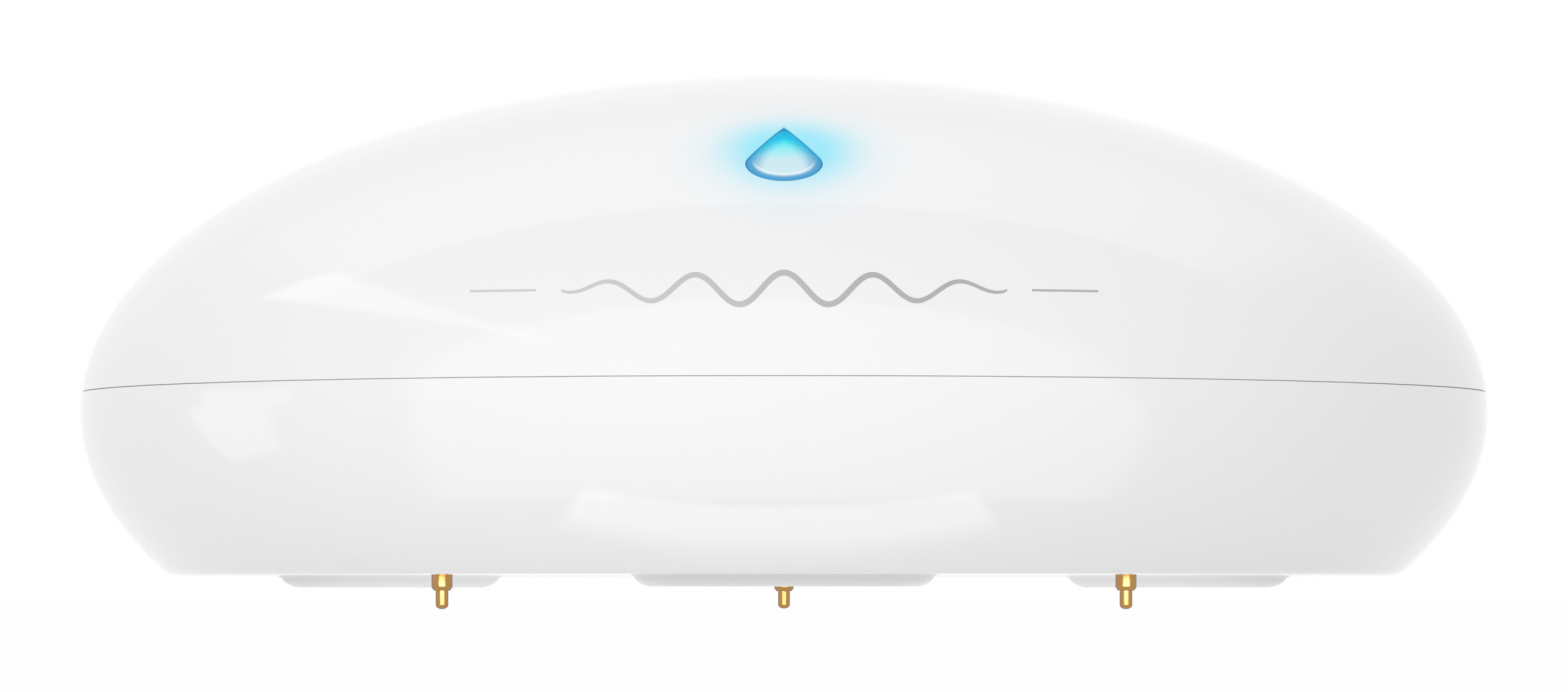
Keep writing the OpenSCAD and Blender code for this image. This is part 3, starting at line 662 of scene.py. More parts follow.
def makeBase():
    rise = case["domeRise"]
    groove = case["seamWidth"]/2
    rim = seamHeight - case["seamGap"]/2
    edge = case["underEdge"]
    low = baseLow.z
    corner = Vector((domeRadius(low), low))
    first, last = Vector((corner.x - edge, low)), Vector((domeRadius(low + edge), low + edge))
    under = [curl(first, corner, last, t) for t in (0, 0.2, 0.4, 0.6, 0.8)]
    belly = ovalArc(caseRadius, rise, ovalTurn(rise, low + edge), ovalTurn(rise, seamHeight - groove),
                    case["steps"])
    ledge = baseHigh.z        # top of the collar
    rimTop = coverLow.z - case["rimGap"]
    rimLow = rimTop - case["rimThick"]
    land = [(domeRadius(rim) - case["seamDepth"], rim), (case["rimLand"], rim), (case["rimLand"], rimTop)]
    lip = softCorners([land[-1], (case["rimInner"], rimTop), (case["rimInner"], rimLow),
                       (innerRadius, rimLow)], case["lipEdge"])
    bowl = ovalArc(innerRadius, innerRise, ovalTurn(innerRise, rimLow), ovalTurn(innerRise, floorHeight), 24)
    outside, inside = case["collarOuter"], case["collarInner"]
    collar = softCorners([bowl[-1], (outside, floorHeight), (outside, ledge), (inside, ledge),
                          (inside, floorHeight), (0, floorHeight)], case["collarEdge"])
    bm = bmesh.new()
    spinOutline(bm, [(0, low)] + under + belly + land + lip[1:-1] + bowl + collar[1:])
    piece = finishPiece("baseShell", bm, makeCaseWhite("caseWhite"), "base", ("base_shell",))
    r, bottom, top = bosses["probeHole"], low - 1, floorHeight + 1
    holes = bmesh.new()
    for x, y in ringSpots("probe"):
        addRound(holes, (x, y, 0), [(0, bottom), (r, bottom), (r, top), (0, top)], 40)
    carve(piece, holes)
    extend(piece, addRidges, addBosses)
    markInside(piece)


makeBase()
makeCover()
print("case shells ready")


# the lens: its heart runs from a painted milky highlight at the round end to a deep tip, inside a blue band,
# with a painted crescent highlight near the lower rim
lens = {"tip": (0, 112, 188), "azure": (8, 166, 229), "cyan": (48, 213, 244), "aqua": (108, 240, 249),
        "pale": (160, 242, 248), "milkHighlight": (210, 237, 245), "rimLow": (88, 166, 213), "rimHigh": (56, 196, 232),
        "outline": (54, 146, 194), "paintedCrescent": (238, 248, 252),
        # the milky, pale end of the heart is a painted highlight; the blues are the lens's own lit colour
        "heart": ((0.0, "milkHighlight"), (1.0, "tip"), (0.23, "milkHighlight"), (0.42, "pale"), (0.54, "aqua"), (0.65, "cyan"),
                  (0.80, "azure")),
        "band": ((0.0, "rimLow"), (1.0, "tip"), (0.30, "rimLow"), (0.62, "rimHigh"), (0.82, "rimHigh")),
        "lit": 0.58, "body": (0.42, 0.42, 0.42), "rough": 0.22}        # its own light, and the room's share


def makeLensBlue():
    material = bpy.data.materials.new("lensBlue")
    material.use_nodes = True
    tree = material.node_tree
    shader = tree.nodes["Principled BSDF"]
    ring = newNode(tree, "ShaderNodeAttribute", attribute_name="ring").outputs["Fac"]
    along = newNode(tree, "ShaderNodeAttribute", attribute_name="along").outputs["Fac"]
    heart, band = (ramp(tree, along, [(place, tone(*lens[name])) for place, name in lens[part]])
                   for part in ("heart", "band"))
    start = fade(tree, along, 0.08, 0.34, 0.77, 0.30)        # the ring where the heart turns into the band
    end = fade(tree, along, 0.08, 0.45, 0.93, 0.98)
    soft = divide(tree, minus(tree, ring, start), minus(tree, end, start), clamp=True)
    color = mixColor(tree, fade(tree, soft, 0.0, 1.0), heart, band)
    # a painted highlight: a pale crescent just inside the lower rim
    bow = times(tree, fade(tree, ring, 0.72, 0.79), fade(tree, ring, 0.87, 0.81))
    bow = times(tree, bow, fade(tree, along, 0.32, 0.10, 0.0, 0.75))
    color = mixColor(tree, bow, color, tone(*lens["paintedCrescent"]))
    color = mixColor(tree, fade(tree, ring, 0.95, 1.0, 0.0, 0.8), color, tone(*lens["outline"]))
    tree.links.new(mixColor(tree, 1.0, color, lens["body"], "MULTIPLY"), shader.inputs["Base Color"])
    tree.links.new(color, shader.inputs["Emission Color"])
    shader.inputs["Emission Strength"].default_value = lens["lit"]
    shader.inputs["Roughness"].default_value = lens["rough"]
    # no gloss of its own: the painted highlights stand in for it
    shader.inputs["Specular IOR Level"].default_value = 0.0
    return material


def makeLens():
    bm = bmesh.new()
    ringMark = bm.verts.layers.float.new("ring")
    alongMark = bm.verts.layers.float.new("along")
    verts, edges = dropOutline(bm)
    centre = Vector((0, dropMiddle + drop["heartUp"], 0))*mm
    rows = [(1.0, verts)]
    for i in range(1, drop["rings"]):
        share = 1 - i/drop["rings"]
        made = bmesh.ops.extrude_edge_only(bm, edges=edges)["geom"]
        edges = [e for e in made if isinstance(e, bmesh.types.BMEdge) and all(v in made for v in e.verts)]
        edges = [e for e in edges if len(e.link_faces) == 1]
        row = list({v for e in edges for v in e.verts})
        last = rows[-1][0]
        for v in row:
            v.co = centre + (v.co - centre)*(share/last)
        rows.append((share, row))
    cap = bmesh.ops.contextual_create(bm, geom=edges)["faces"]
    pole = bmesh.ops.poke(bm, faces=cap)["verts"]
    rows.append((0.0, pole))
    for share, row in rows:
        swell = drop["proud"]*(1 - share**drop["swellPower"]) - drop["dip"]*share**drop["dipPower"]
        for v in row:
            x, y = v.co.x/mm, v.co.y/mm
            v[ringMark] = share
            v[alongMark] = (y + drop["length"]/2)/drop["length"]
            v.co.z = (domeLift(x, y) + swell)*mm
    border = [e for e in bm.edges if len(e.link_faces) == 1]
    down = bmesh.ops.extrude_edge_only(bm, edges=border)["geom"]
    low = [v for v in down if isinstance(v, bmesh.types.BMVert)]
    bmesh.ops.translate(bm, verts=low, vec=(0, 0, -drop["deep"]*mm))
    bmesh.ops.contextual_create(bm, geom=[e for e in bm.edges if len(e.link_faces) == 1])
    bmesh.ops.transform(bm, matrix=dropFrame, verts=bm.verts)
    finishPiece("dropLens", bm, makeLensBlue(), "cover", ("drop_lens",), sharp=50)


makeLens()
print("lens ready")


# a plain ripple between two thin lines, printed on the front of the dome
ripple = {"height": 15.2, "half": 10.6, "waves": 5, "swing": 0.78, "stroke": 0.28, "lineFrom": 11.8,
          "lineTo": 15.0, "lineStroke": 0.09, "lineSteps": 24, "proud": 0.012, "film": 0.02, "steps": 260,
          "calm": 0.6, "thin": 0.35, "glintFrom": -12, "glintTo": 8}


def makePrintGrey():        # paler to the left, where a painted glint lies on the print
    material, tree, shader, grain = makeSurface("printGrey", tone(176, 177, 179), 0.05, 0.3, 0.1, 300.0)
    axes = axesOf(tree, objectPlace(tree))
    # a painted glint: the grey turns paler towards the left
    side = fade(tree, axes["X"], ripple["glintFrom"]*mm, ripple["glintTo"]*mm)
    grey = mixColor(tree, side, tone(205, 206, 208), grain.outputs["Tint"])
    tree.links.new(grey, shader.inputs["Base Color"])
    return material


def domeFront(x, z):        # the dome's front at a given side step and height, in mm
    return -math.sqrt(domeRadius(z)**2 - x*x)


def addStroke(bm, start, end, steps, path):
    made = bmesh.ops.create_grid(bm, x_segments=steps, y_segments=1, size=0.5)["verts"]
    for v in made:
        x = start + (end - start)*(v.co.x + 0.5)
        lift, stroke = path(x)
        z = ripple["height"] + lift + stroke*v.co.y
        y = domeFront(x, z)
        out = Vector((x/caseRadius**2, y/caseRadius**2, (z - midHeight)/case["domeRise"]**2)).normalized()
        v.co = (Vector((x, y, z)) + out*ripple["proud"])*mm


def makeRipple():
    half = ripple["half"]
    pace = math.pi*ripple["waves"]/half

    def wave(x):
        calm = math.cos(math.pi/2*x/half)**ripple["calm"] if abs(x) < half else 0.0
        slope = ripple["swing"]*calm*pace*math.sin(pace*x)
        thick = ripple["stroke"]*math.sqrt(1 + slope*slope)*(ripple["thin"] + (1 - ripple["thin"])*calm)
        return ripple["swing"]*calm*math.cos(pace*x), thick

    bm = bmesh.new()
    addStroke(bm, -half, half, ripple["steps"], wave)
    for side in (-1, 1):
        ends = sorted((side*ripple["lineFrom"], side*ripple["lineTo"]))
        addStroke(bm, *ends, ripple["lineSteps"], lambda x: (0.0, ripple["lineStroke"]))
    bmesh.ops.recalc_face_normals(bm, faces=bm.faces)
    bmesh.ops.solidify(bm, geom=bm.faces[:], thickness=ripple["film"]*mm)
    finishPiece("ripplePrint", bm, makePrintGrey(), "cover")


makeRipple()
print("print ready")


# feet: low pads with drawn-in sides that round into the ground face
feet = {"slope": 1.0, "corner": 2.5, "wallDraw": 0.18, "wallDrop": 0.12, "steps": 6, "bow": 0.75,
        "angles": {"front_foot": 270, "left_foot": 150, "right_foot": 30}}
footLow, footHigh = (v/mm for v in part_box("front_foot"))
footSize = footHigh - footLow
footRing = -(footLow.y + footHigh.y)/2


def roundPlan(bm, width, length, corner, z, steps=10):
    points = []
    for quarter, (sx, sy) in enumerate(((1, 1), (-1, 1), (-1, -1), (1, -1))):
        for i in range(steps + 1):
            t = math.pi/2*(quarter + i/steps)
            points.append((sx*(width/2 - corner) + corner*math.cos(t),
                           sy*(length/2 - corner) + corner*math.sin(t)))
    verts = [bm.verts.new((x*mm, y*mm, z*mm)) for x, y in points]
    return [bm.edges.new(pair) for pair in zip(verts, verts[1:] + verts[:1])]


def closeLoops(bm, loops):        # walls between the loops, and a face over each end
    for one, other in zip(loops, loops[1:]):
        bmesh.ops.bridge_loops(bm, edges=one + other)
    for loop in (loops[0], loops[-1]):
        bmesh.ops.contextual_create(bm, geom=loop)


def makeFeet():
    finish = makeSurface("footWhite", tone(236, 236, 236), 0.02, 0.32, 0.08, 90.0, 0.002)[0]
    wall, fall = feet["wallDraw"], feet["wallDrop"]
    levels = [(0.0, 0.0), (wall, fall)]
    for i in range(1, feet["steps"] + 1):
        t = math.pi/2*i/feet["steps"]
        levels.append((wall + (feet["slope"] - wall)*(1 - math.cos(t))**feet["bow"],
                       fall + (footSize.z - fall)*math.sin(t)))
    for node, angle in feet["angles"].items():
        bm = bmesh.new()
        loops = []
        for inset, down in levels:
            loops.append(roundPlan(bm, footSize.y - 2*inset, footSize.x - 2*inset, feet["corner"] - inset/2,
                                   footHigh.z - down))
        closeLoops(bm, loops)
        turn = Matrix.Rotation(math.radians(angle), 4, "Z") @ Matrix.Translation((footRing*mm, 0, 0))
        bmesh.ops.transform(bm, matrix=turn, verts=bm.verts)
        finishPiece(node.replace("_foot", "Foot"), bm, finish, "base", (node,), sharp=40)


makeFeet()
print("feet ready")


# finishes of the inner pieces
def makeFinishes():
    metal = {"Metallic": 1.0}
    gold = {"Metallic": 1.0, "Specular Tint": (*tone(70, 46, 10), 1), "Coat Weight": 1.0, "Coat IOR": 1.75,
            "Coat Roughness": 0.2}
    clear = {"Transmission Weight": 0.75, "IOR": 1.49}
    plans = {        # colour, drift, roughness, its spread, scale, relief, and more settings
        "probe_gold": (tone(168, 118, 8), 0.06, 0.2, 0.08, 400.0, 0.0, gold),
        "spring_steel": (tone(196, 198, 200), 0.1, 0.25, 0.1, 400.0, 0.0, metal),
        "seal_rubber": (tone(58, 60, 62), 0.12, 0.62, 0.2, 160.0, 0.004, {}),
        "screw_steel": (tone(190, 192, 194), 0.1, 0.28, 0.15, 300.0, 0.0004, metal),
        "cradle_grey": (tone(206, 208, 208), 0.04, 0.48, 0.15, 90.0, 0.004, {}),
        "contact_nickel": (tone(204, 200, 190), 0.08, 0.24, 0.12, 260.0, 0.0003, metal),
        "led_body": (tone(238, 240, 236), 0.04, 0.35, 0.1, 200.0, 0.0, {}),
        "shield_tin": (tone(198, 200, 202), 0.08, 0.3, 0.15, 180.0, 0.0006, metal),
        "chip_black": (tone(40, 41, 43), 0.15, 0.5, 0.15, 260.0, 0.003, {}),
        "button_body": (tone(58, 60, 64), 0.1, 0.45, 0.15, 200.0, 0.002, {}),
        "bead_brown": (tone(120, 66, 36), 0.15, 0.22, 0.1, 200.0, 0.0, {"Coat Weight": 0.5}),
        "aerial_copper": (tone(196, 122, 84), 0.12, 0.25, 0.12, 300.0, 0.0, metal),
        "guide_clear": (tone(232, 246, 250), 0.03, 0.1, 0.05, 120.0, 0.0, clear),
    }
    return {slot: makeSurface(slot.title().replace("_", ""), *plan)[0] for slot, plan in plans.items()}


def makeBoardGreen():        # solder mask over etched tracks, bare laminate on the cut edges
    track = {"rows": (1.3, 1.7), "wide": 0.09, "long": 9, "cells": 210.0, "share": 0.45, "rise": 0.03}
    material, tree, shader, grain = makeSurface("boardGreen", tone(20, 92, 54), 0.16, 0.3, 0.12, 140.0, 0.001)
    place = objectPlace(tree)
    turned = newNode(tree, "ShaderNodeMapping", {"Vector": place, "Rotation": (0, 0, math.pi/2)}).outputs[0]
    runs = []
    for way, row in zip((place, turned), track["rows"]):
        brick = newNode(tree, "ShaderNodeTexBrick", {
            "Vector": way, "Scale": 1.0, "Mortar Size": track["wide"]*mm, "Mortar Smooth": 0.2,
            "Brick Width": track["long"]*mm, "Row Height": row*mm})
        cells = newNode(tree, "ShaderNodeTexVoronoi", {"Vector": way, "Scale": track["cells"]})
        pick = newNode(tree, "ShaderNodeSeparateColor", {0: cells.outputs["Color"]}).outputs[0]
        runs.append(times(tree, brick.outputs["Fac"], calc(tree, "GREATER_THAN", pick, track["share"])))
    tracks = largest(tree, *runs)
    color = mixColor(tree, tracks, grain.outputs["Tint"], tone(52, 138, 84))
    flat = axesOf(tree, newNode(tree, "ShaderNodeNewGeometry").outputs["Normal"])
    edge = calc(tree, "LESS_THAN", calc(tree, "ABSOLUTE", flat["Z"]), 0.5)
    tree.links.new(mixColor(tree, edge, color, tone(176, 164, 104)), shader.inputs["Base Color"])
    lift = newNode(tree, "ShaderNodeBump", {"Height": tracks, "Distance": track["rise"]*mm, "Strength": 0.6})
    tree.links.new(lift.outputs["Normal"], shader.inputs["Normal"])
    return material


def makeBatterySleeve(middle, length):        # shrink sleeve, one pale band and a dark ring at the plus end
    marks = {"band": (0.70, 0.86), "ring": 0.88}        # shares of the length
    material, tree, shader, grain = makeSurface("batterySleeve", tone(62, 84, 112), 0.05, 0.28, 0.08, 70.0,
                                                settings={"Coat Weight": 0.4, "Coat Roughness": 0.1})
    axes = axesOf(tree, objectPlace(tree))
    along = divide(tree, minus(tree, axes["X"], (middle.x - length/2)*mm), length*mm)
    low, high = marks["band"]
    band = times(tree, calc(tree, "GREATER_THAN", along, low), calc(tree, "LESS_THAN", along, high))
    color = mixColor(tree, band, grain.outputs["Tint"], tone(222, 224, 226))
    color = mixColor(tree, calc(tree, "GREATER_THAN", along, marks["ring"]), color, tone(36, 40, 48))
    tree.links.new(color, shader.inputs["Base Color"])
    return material


def makeCapacitorCan(middle, radius):        # drawn aluminium with the dark mark of the minus side
    material, tree, shader, grain = makeSurface("capacitorCan", tone(192, 194, 198), 0.08, 0.22, 0.1, 200.0)
    axes = axesOf(tree, objectPlace(tree))
    mark = calc(tree, "GREATER_THAN", axes["X"], (middle.x + 0.55*radius)*mm)
    tree.links.new(mixColor(tree, mark, grain.outputs["Tint"], tone(34, 36, 44)), shader.inputs["Base Color"])
    tree.links.new(minus(tree, 1.0, mark), shader.inputs["Metallic"])
    return material


finishes = makeFinishes()
finishes["board_green"] = makeBoardGreen()
print("finishes ready")


def innerPiece(name, bm, slot, *nodes):        # a piece that stays with the base, in its slot's finish
    return finishPiece(name, bm, finishes[slot], "base", nodes)


def nodeBox(node):        # middle and size of a node's box, in mm
    low, high = (v/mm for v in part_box(node))
    return (low + high)/2, high - low


def bendWire(spots, wire, fineness):        # a round wire along a line of points, as a mesh
    curve = bpy.data.curves.new("wireLine", "CURVE")
    curve.dimensions = "3D"
    curve.bevel_depth = wire*mm
    curve.bevel_resolution = fineness
    curve.use_fill_caps = True
    line = curve.splines.new("POLY")
    line.points.add(len(spots) - 1)
    for point, spot in zip(line.points, spots):
        point.co = (*(Vector(spot)*mm), 1)
    shape = bpy.data.objects.new("wireShape", curve)
    scene.collection.objects.link(shape)
    mesh = bpy.data.meshes.new_from_object(shape.evaluated_get(bpy.context.evaluated_depsgraph_get()))
    bm = bmesh.new()
    bm.from_mesh(mesh)
    bpy.data.objects.remove(shape)
    bpy.data.curves.remove(curve)
    bpy.data.meshes.remove(mesh)
    return bm


# probes: turned barrels with a cone at the mouth, and round-nosed plungers that slide in them
probe = {"barrel": 0.53, "mouth": 0.35, "bore": 0.41, "lip": 0.06, "cone": 0.93, "straight": 1.09,
         "mouthTop": 2.53, "boreTop": 6.02, "flange": 1.5, "flangeLow": 5.82, "flangeHigh": 6.22,
         "tail": 0.35, "tip": 0.22, "slip": 0.03, "collar": 0.06, "collarUp": 0.02, "edge": 0.06}
probeLamp = {"at": (0.02, -0.34, 0.0065), "size": (0.44, 0.011), "power": 3.2}


def makeProbes():
    lit = bpy.data.collections.new("probesOnly")
    scene.collection.children.link(lit)
    p = probe
    gold = finishes["probe_gold"]
    for side, spot in zip(("rear", "left", "right"), ringSpots("probe")):
        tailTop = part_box(side + "_probe_barrel")[1].z/mm
        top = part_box(side + "_probe_plunger")[1].z/mm
        bore = [(0, p["boreTop"]), (p["bore"], p["boreTop"]), (p["bore"], p["mouthTop"])]
        shell = [(p["mouth"], p["mouthTop"]), (p["mouth"], p["cone"]), (p["mouth"] + p["lip"], p["cone"]),
                 (p["barrel"], p["straight"]), (p["barrel"], p["flangeLow"]), (p["flange"], p["flangeLow"]),
                 (p["flange"], p["flangeHigh"]), (p["tail"], p["flangeHigh"]), (p["tail"], tailTop),
                 (0, tailTop)]
        bm = bmesh.new()
        spinOutline(bm, bore + softCorners(shell, p["edge"]), 56, spot)
        barrel = finishPiece(side + "Barrel", bm, gold, "base", (side + "_probe_barrel",))
        rod, low = p["mouth"] - p["slip"], p["mouthTop"] + p["collarUp"]
        nose = [(rod*math.sin(math.pi/2*i/8), p["tip"]*(1 - math.cos(math.pi/2*i/8))) for i in range(9)]
        collar = [(rod, low), (rod + p["collar"], low), (rod + p["collar"], top), (0, top)]
        bm = bmesh.new()
        spinOutline(bm, nose + collar, 48, spot)
        plunger = finishPiece(side + "Plunger", bm, gold, side + "_probe",
                              (side + "_probe_plunger",))
        for piece in (barrel, plunger):
            lit.objects.link(piece)
    data = bpy.data.lights.new("probeLamp", "AREA")        # a strip that only the gold reflects
    data.shape = "RECTANGLE"
    data.size, data.size_y = probeLamp["size"]
    data.energy = probeLamp["power"]
    lamp = bpy.data.objects.new("probeLamp", data)
    lamp.location = probeLamp["at"]
    lamp.rotation_euler = (-lamp.location).to_track_quat("-Z", "Y").to_euler()
    lamp.visible_camera = False
    lamp.light_linking.receiver_collection = lit
    scene.collection.objects.link(lamp)


probeSpring = {"wire": 0.05, "curls": 9, "steps": 22, "press": 0.9}


def makeProbeSprings():        # a coil wound from the bottom to the top of each spring's box
    s = probeSpring
    count = s["curls"]*s["steps"]
    for side in ("rear", "left", "right"):
        node = side + "_probe_spring"
        middle, size = nodeBox(node)
        low, high = middle.z - size.z/2 + s["wire"], middle.z + size.z/2 - s["wire"]
        r = size.x/2 - s["wire"]
        spots = []
        for i in range(count + 1):
            turn = 2*math.pi*i/s["steps"]
            spots.append((middle.x + r*math.cos(turn), middle.y + r*math.sin(turn),
                          low + (high - low)*i/count))
        coil = innerPiece(side + "Spring", bendWire(spots, s["wire"], 2), "spring_steel", node)
        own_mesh(coil)


makeProbes()
makeProbeSprings()
print("probes ready")


# helpers for the small parts on the board

def addBlock(bm, middle, size, corner=0.0, edge=0.0, turn=0.0):
    part = bmesh.new()
    bmesh.ops.create_cube(part, size=1.0)
    bmesh.ops.scale(part, vec=Vector(size)*mm, verts=part.verts)
    if corner:
        uprights = [e for e in part.edges if abs(e.verts[0].co.z - e.verts[1].co.z) > 0.5*size[2]*mm]
        bevelEdges(part, uprights, corner, 4)
    if edge:
        rims = [e for e in part.edges if all(v.co.z > 0.49*size[2]*mm for v in e.verts)]
        bevelEdges(part, rims, edge, 3)
    place = Matrix.Translation(Vector(middle)*mm) @ Matrix.Rotation(math.radians(turn), 4, "Z")
    bmesh.ops.transform(part, matrix=place, verts=part.verts)
    pour(bm, part)


boardTop = nodeBox("circuit_board")[0].z + nodeBox("circuit_board")[1].z/2


# chips, cans and parts that stand on the board
def makeChip():
    leg = {"count": 8, "step": 0.62, "wide": 0.3, "thick": 0.14, "long": 0.7, "out": 0.2, "in": 0.35}
    middle, size = nodeBox("controller_chip")
    body = (size.x - 2*leg["out"], size.y - 2*leg["out"], size.z - leg["thick"])
    bm = bmesh.new()
    addBlock(bm, middle + Vector((0, 0, leg["thick"]/2)), body, edge=0.12)
    bm.faces.ensure_lookup_table()
    top = max(bm.faces, key=lambda f: f.calc_center_median().z)
    bmesh.ops.inset_region(bm, faces=[top], thickness=0.4*mm, depth=-0.05*mm)
    innerPiece("chipBody", bm, "chip_black", "controller_chip")
    bm = bmesh.new()
    for turn in range(4):
        for i in range(leg["count"]):
            along = (i - (leg["count"] - 1)/2)*leg["step"]
            spot = Matrix.Rotation(math.pi/2*turn, 3, "Z") @ Vector((size.x/2 - leg["in"], along, 0))
            addBlock(bm, (middle.x + spot.x, middle.y + spot.y, boardTop + leg["thick"]/2),
                     (leg["long"], leg["wide"], leg["thick"]), turn=90*turn)
    innerPiece("chipLegs", bm, "contact_nickel")


def makeRadio():
    can = {"corner": 0.8, "edge": 0.35, "skirt": 0.15, "skirtTall": 0.3, "skirtEdge": 0.1, "holeStep": 2.2,
           "holeRadius": 0.4, "holeDeep": 0.4}
    middle, size = nodeBox("radio_shield")
    skirt, tall = can["skirt"], can["skirtTall"]
    bm = bmesh.new()
    addBlock(bm, middle, (size.x - 2*skirt, size.y - 2*skirt, size.z), can["corner"], can["edge"])
    addBlock(bm, (middle.x, middle.y, boardTop + tall/2), (size.x, size.y, tall), can["corner"] + skirt,
             can["skirtEdge"])
    piece = innerPiece("radioCan", bm, "shield_tin", "radio_shield")
    r, step = can["holeRadius"], can["holeStep"]
    holes = bmesh.new()
    for i in (-1, 0, 1):
        for k in (-1, 0, 1):
            spot = (middle.x + i*step, middle.y + k*step, middle.z + size.z/2 - can["holeDeep"])
            addRound(holes, spot, [(0, 0), (r, 0), (r, 1.0), (0, 1.0)], 20)
    carve(piece, holes)


def makeCrystal():
    flange = ((0.06, 0), (0.0, 0.08), (0.0, 0.3), (0.08, 0.36), (0.3, 0.4))        # inset, height
    crown = ((0.3, 0.35), (0.36, 0.12), (0.52, 0.02), (0.75, 0))        # inset, depth under the top
    middle, size = nodeBox("crystal")
    bm = bmesh.new()
    loops = []
    for inset, up in (*flange, *((inset, size.z - under) for inset, under in crown)):
        corner = size.y/2 - inset - 0.001
        loops.append(roundPlan(bm, size.x - 2*inset, size.y - 2*inset, corner, boardTop + up, 14))
    closeLoops(bm, loops)
    bmesh.ops.translate(bm, verts=bm.verts, vec=(middle.x*mm, middle.y*mm, 0))
    innerPiece("crystalCan", bm, "shield_tin", "crystal")


def makeButtonPlate():
    plate = {"thick": 0.16, "short": 0.3, "hole": 1.85, "corner": 0.5, "edge": 0.05, "rivetIn": 0.75,
             "pad": (0.7, 0.7, 0.2), "padOut": 0.25, "padAside": 2.25}
    rivet = [(0, 0.14), (0.2, 0.12), (0.34, 0.05), (0.38, -0.02), (0, -0.02)]
    middle, size = nodeBox("button_housing")
    top = middle.z + size.z/2
    side, thick, r = size.x - 2*plate["short"], plate["thick"], plate["hole"]
    bm = bmesh.new()
    addBlock(bm, (middle.x, middle.y, top + thick/2), (side, side, thick), plate["corner"], plate["edge"])
    piece = innerPiece("buttonPlate", bm, "contact_nickel")
    hole = bmesh.new()
    addRound(hole, (middle.x, middle.y, top - 1), [(0, 0), (r, 0), (r, 3), (0, 3)], 48)
    carve(piece, hole)
    reach, out = side/2 - plate["rivetIn"], size.x/2 + plate["padOut"]
    ends = [(sx, sy) for sx in (-1, 1) for sy in (-1, 1)]
    bm = bmesh.new()
    for sx, sy in ends:
        addRound(bm, (middle.x + sx*reach, middle.y + sy*reach, top + thick), rivet, 24)
    for sx, sy in ends:
        spot = (middle.x + sx*out, middle.y + sy*plate["padAside"], boardTop + plate["pad"][2]/2)
        addBlock(bm, spot, plate["pad"], edge=plate["edge"])
    innerPiece("buttonRivets", bm, "contact_nickel")


def makeCapacitor():
    can = {"radius": 2.5, "foot": 1.0, "footCorner": 0.7, "footEdge": 0.12, "score": (2.6, 0.14, 0.34)}
    middle, size = nodeBox("capacitor")
    r, foot = can["radius"], can["foot"]
    high = size.z - foot
    side = [(0, 0.05), (2.2, 0.05), (r, 0.35), (r, 1.0), (2.32, 1.2), (2.32, 1.35), (r, 1.55)]
    crown = [(r, high - 0.45), (2.36, high - 0.12), (2.05, high), (1.75, high), (1.7, high - 0.07),
             (0, high - 0.07)]
    bm = bmesh.new()
    addRound(bm, (middle.x, middle.y, boardTop + foot), side + crown, 64)
    finish = makeCapacitorCan(middle, r)
    piece = finishPiece("capacitorCan", bm, finish, "base", ("capacitor",))
    score = bmesh.new()
    for turn in (0, 90):
        addBlock(score, (middle.x, middle.y, boardTop + size.z), can["score"], turn=turn)
    carve(piece, score, True)
    bm = bmesh.new()
    addBlock(bm, (middle.x, middle.y, boardTop + foot/2), (size.x, size.y, foot), can["footCorner"],
             can["footEdge"])
    finishPiece("capacitorFoot", bm, finishes["chip_black"], "base")


def makeBuzzer():
    middle, size = nodeBox("buzzer")
    r, h = size.x/2, size.z
    mouth = [(0, h/2), (0.9, h/2), (0.9, h - 0.12), (1.02, h)]
    crown = [(r - 0.85, h), (r - 0.75, h - 0.12), (r - 0.6, h - 0.12), (r - 0.5, h - 0.02),
             (r - 0.25, h - 0.1), (r - 0.07, h - 0.28), (r, h - 0.5)]
    side = [(r, 0.9), (r - 0.08, 0.8), (r - 0.08, 0.6), (r, 0.5), (r, 0.15), (r - 0.15, 0), (0, 0)]
    bm = bmesh.new()
    addRound(bm, (middle.x, middle.y, boardTop), mouth + crown + side, 72)
    innerPiece("buzzerCase", bm, "chip_black", "buzzer")


def makeLed():
    led = {"body": 1.35, "corner": 0.2, "edge": 0.1, "dome": 1.15, "sink": 0.1, "lit": 0.25}
    middle, size = nodeBox("status_led")
    body, r, rise = led["body"], led["dome"], size.z - led["body"]
    bm = bmesh.new()
    addBlock(bm, (middle.x, middle.y, boardTop + body/2), (size.x, size.y, body), led["corner"], led["edge"])
    innerPiece("ledBody", bm, "led_body", "status_led")
    glass, tree, shader, grain = makeSurface("ledDome", tone(150, 226, 250), 0.05, 0.12, 0.05, 300.0,
                                             settings={"Emission Strength": led["lit"]})
    tree.links.new(grain.outputs["Tint"], shader.inputs["Emission Color"])
    dome = [(r*math.cos(math.pi/2*i/8), rise*math.sin(math.pi/2*i/8)) for i in range(9)]
    bm = bmesh.new()
    addRound(bm, (middle.x, middle.y, boardTop + body), [(0, -led["sink"]), (r, -led["sink"])] + dome, 40)
    finishPiece("ledDome", bm, glass, "base")


def makeScrews():
    screw = {"radius": 1.9, "shank": 1.0, "slot": 0.5, "slotLong": 2.3, "slotDeep": 0.6, "turns": (20, 110)}
    middle, size = nodeBox("board_screws")
    low, high = middle.z - size.z/2, middle.z + size.z/2
    tall, deep = high - boardTop, low - boardTop
    r, s = screw["radius"], screw["shank"]
    head = [(0, tall), (0.5*r, tall - 0.03), (0.8*r, tall - 0.18), (0.95*r, tall - 0.42), (r, tall - 0.7)]
    shank = [(r, 0.08), (r - 0.08, 0), (s, 0), (s, deep + 0.3), (0.7*s, deep), (0, deep)]
    bar = (screw["slotLong"], screw["slot"], 2*screw["slotDeep"])
    bm, slots = bmesh.new(), bmesh.new()
    for angle, (x, y) in zip(bosses["screwAngles"], ringSpots("screw")):
        addRound(bm, (x, y, boardTop), head + shank, 40)
        for turn in screw["turns"]:
            addBlock(slots, (x, y, high), bar, turn=angle + turn)
    piece = innerPiece("boardScrews", bm, "screw_steel", "board_screws")
    carve(piece, slots, True)


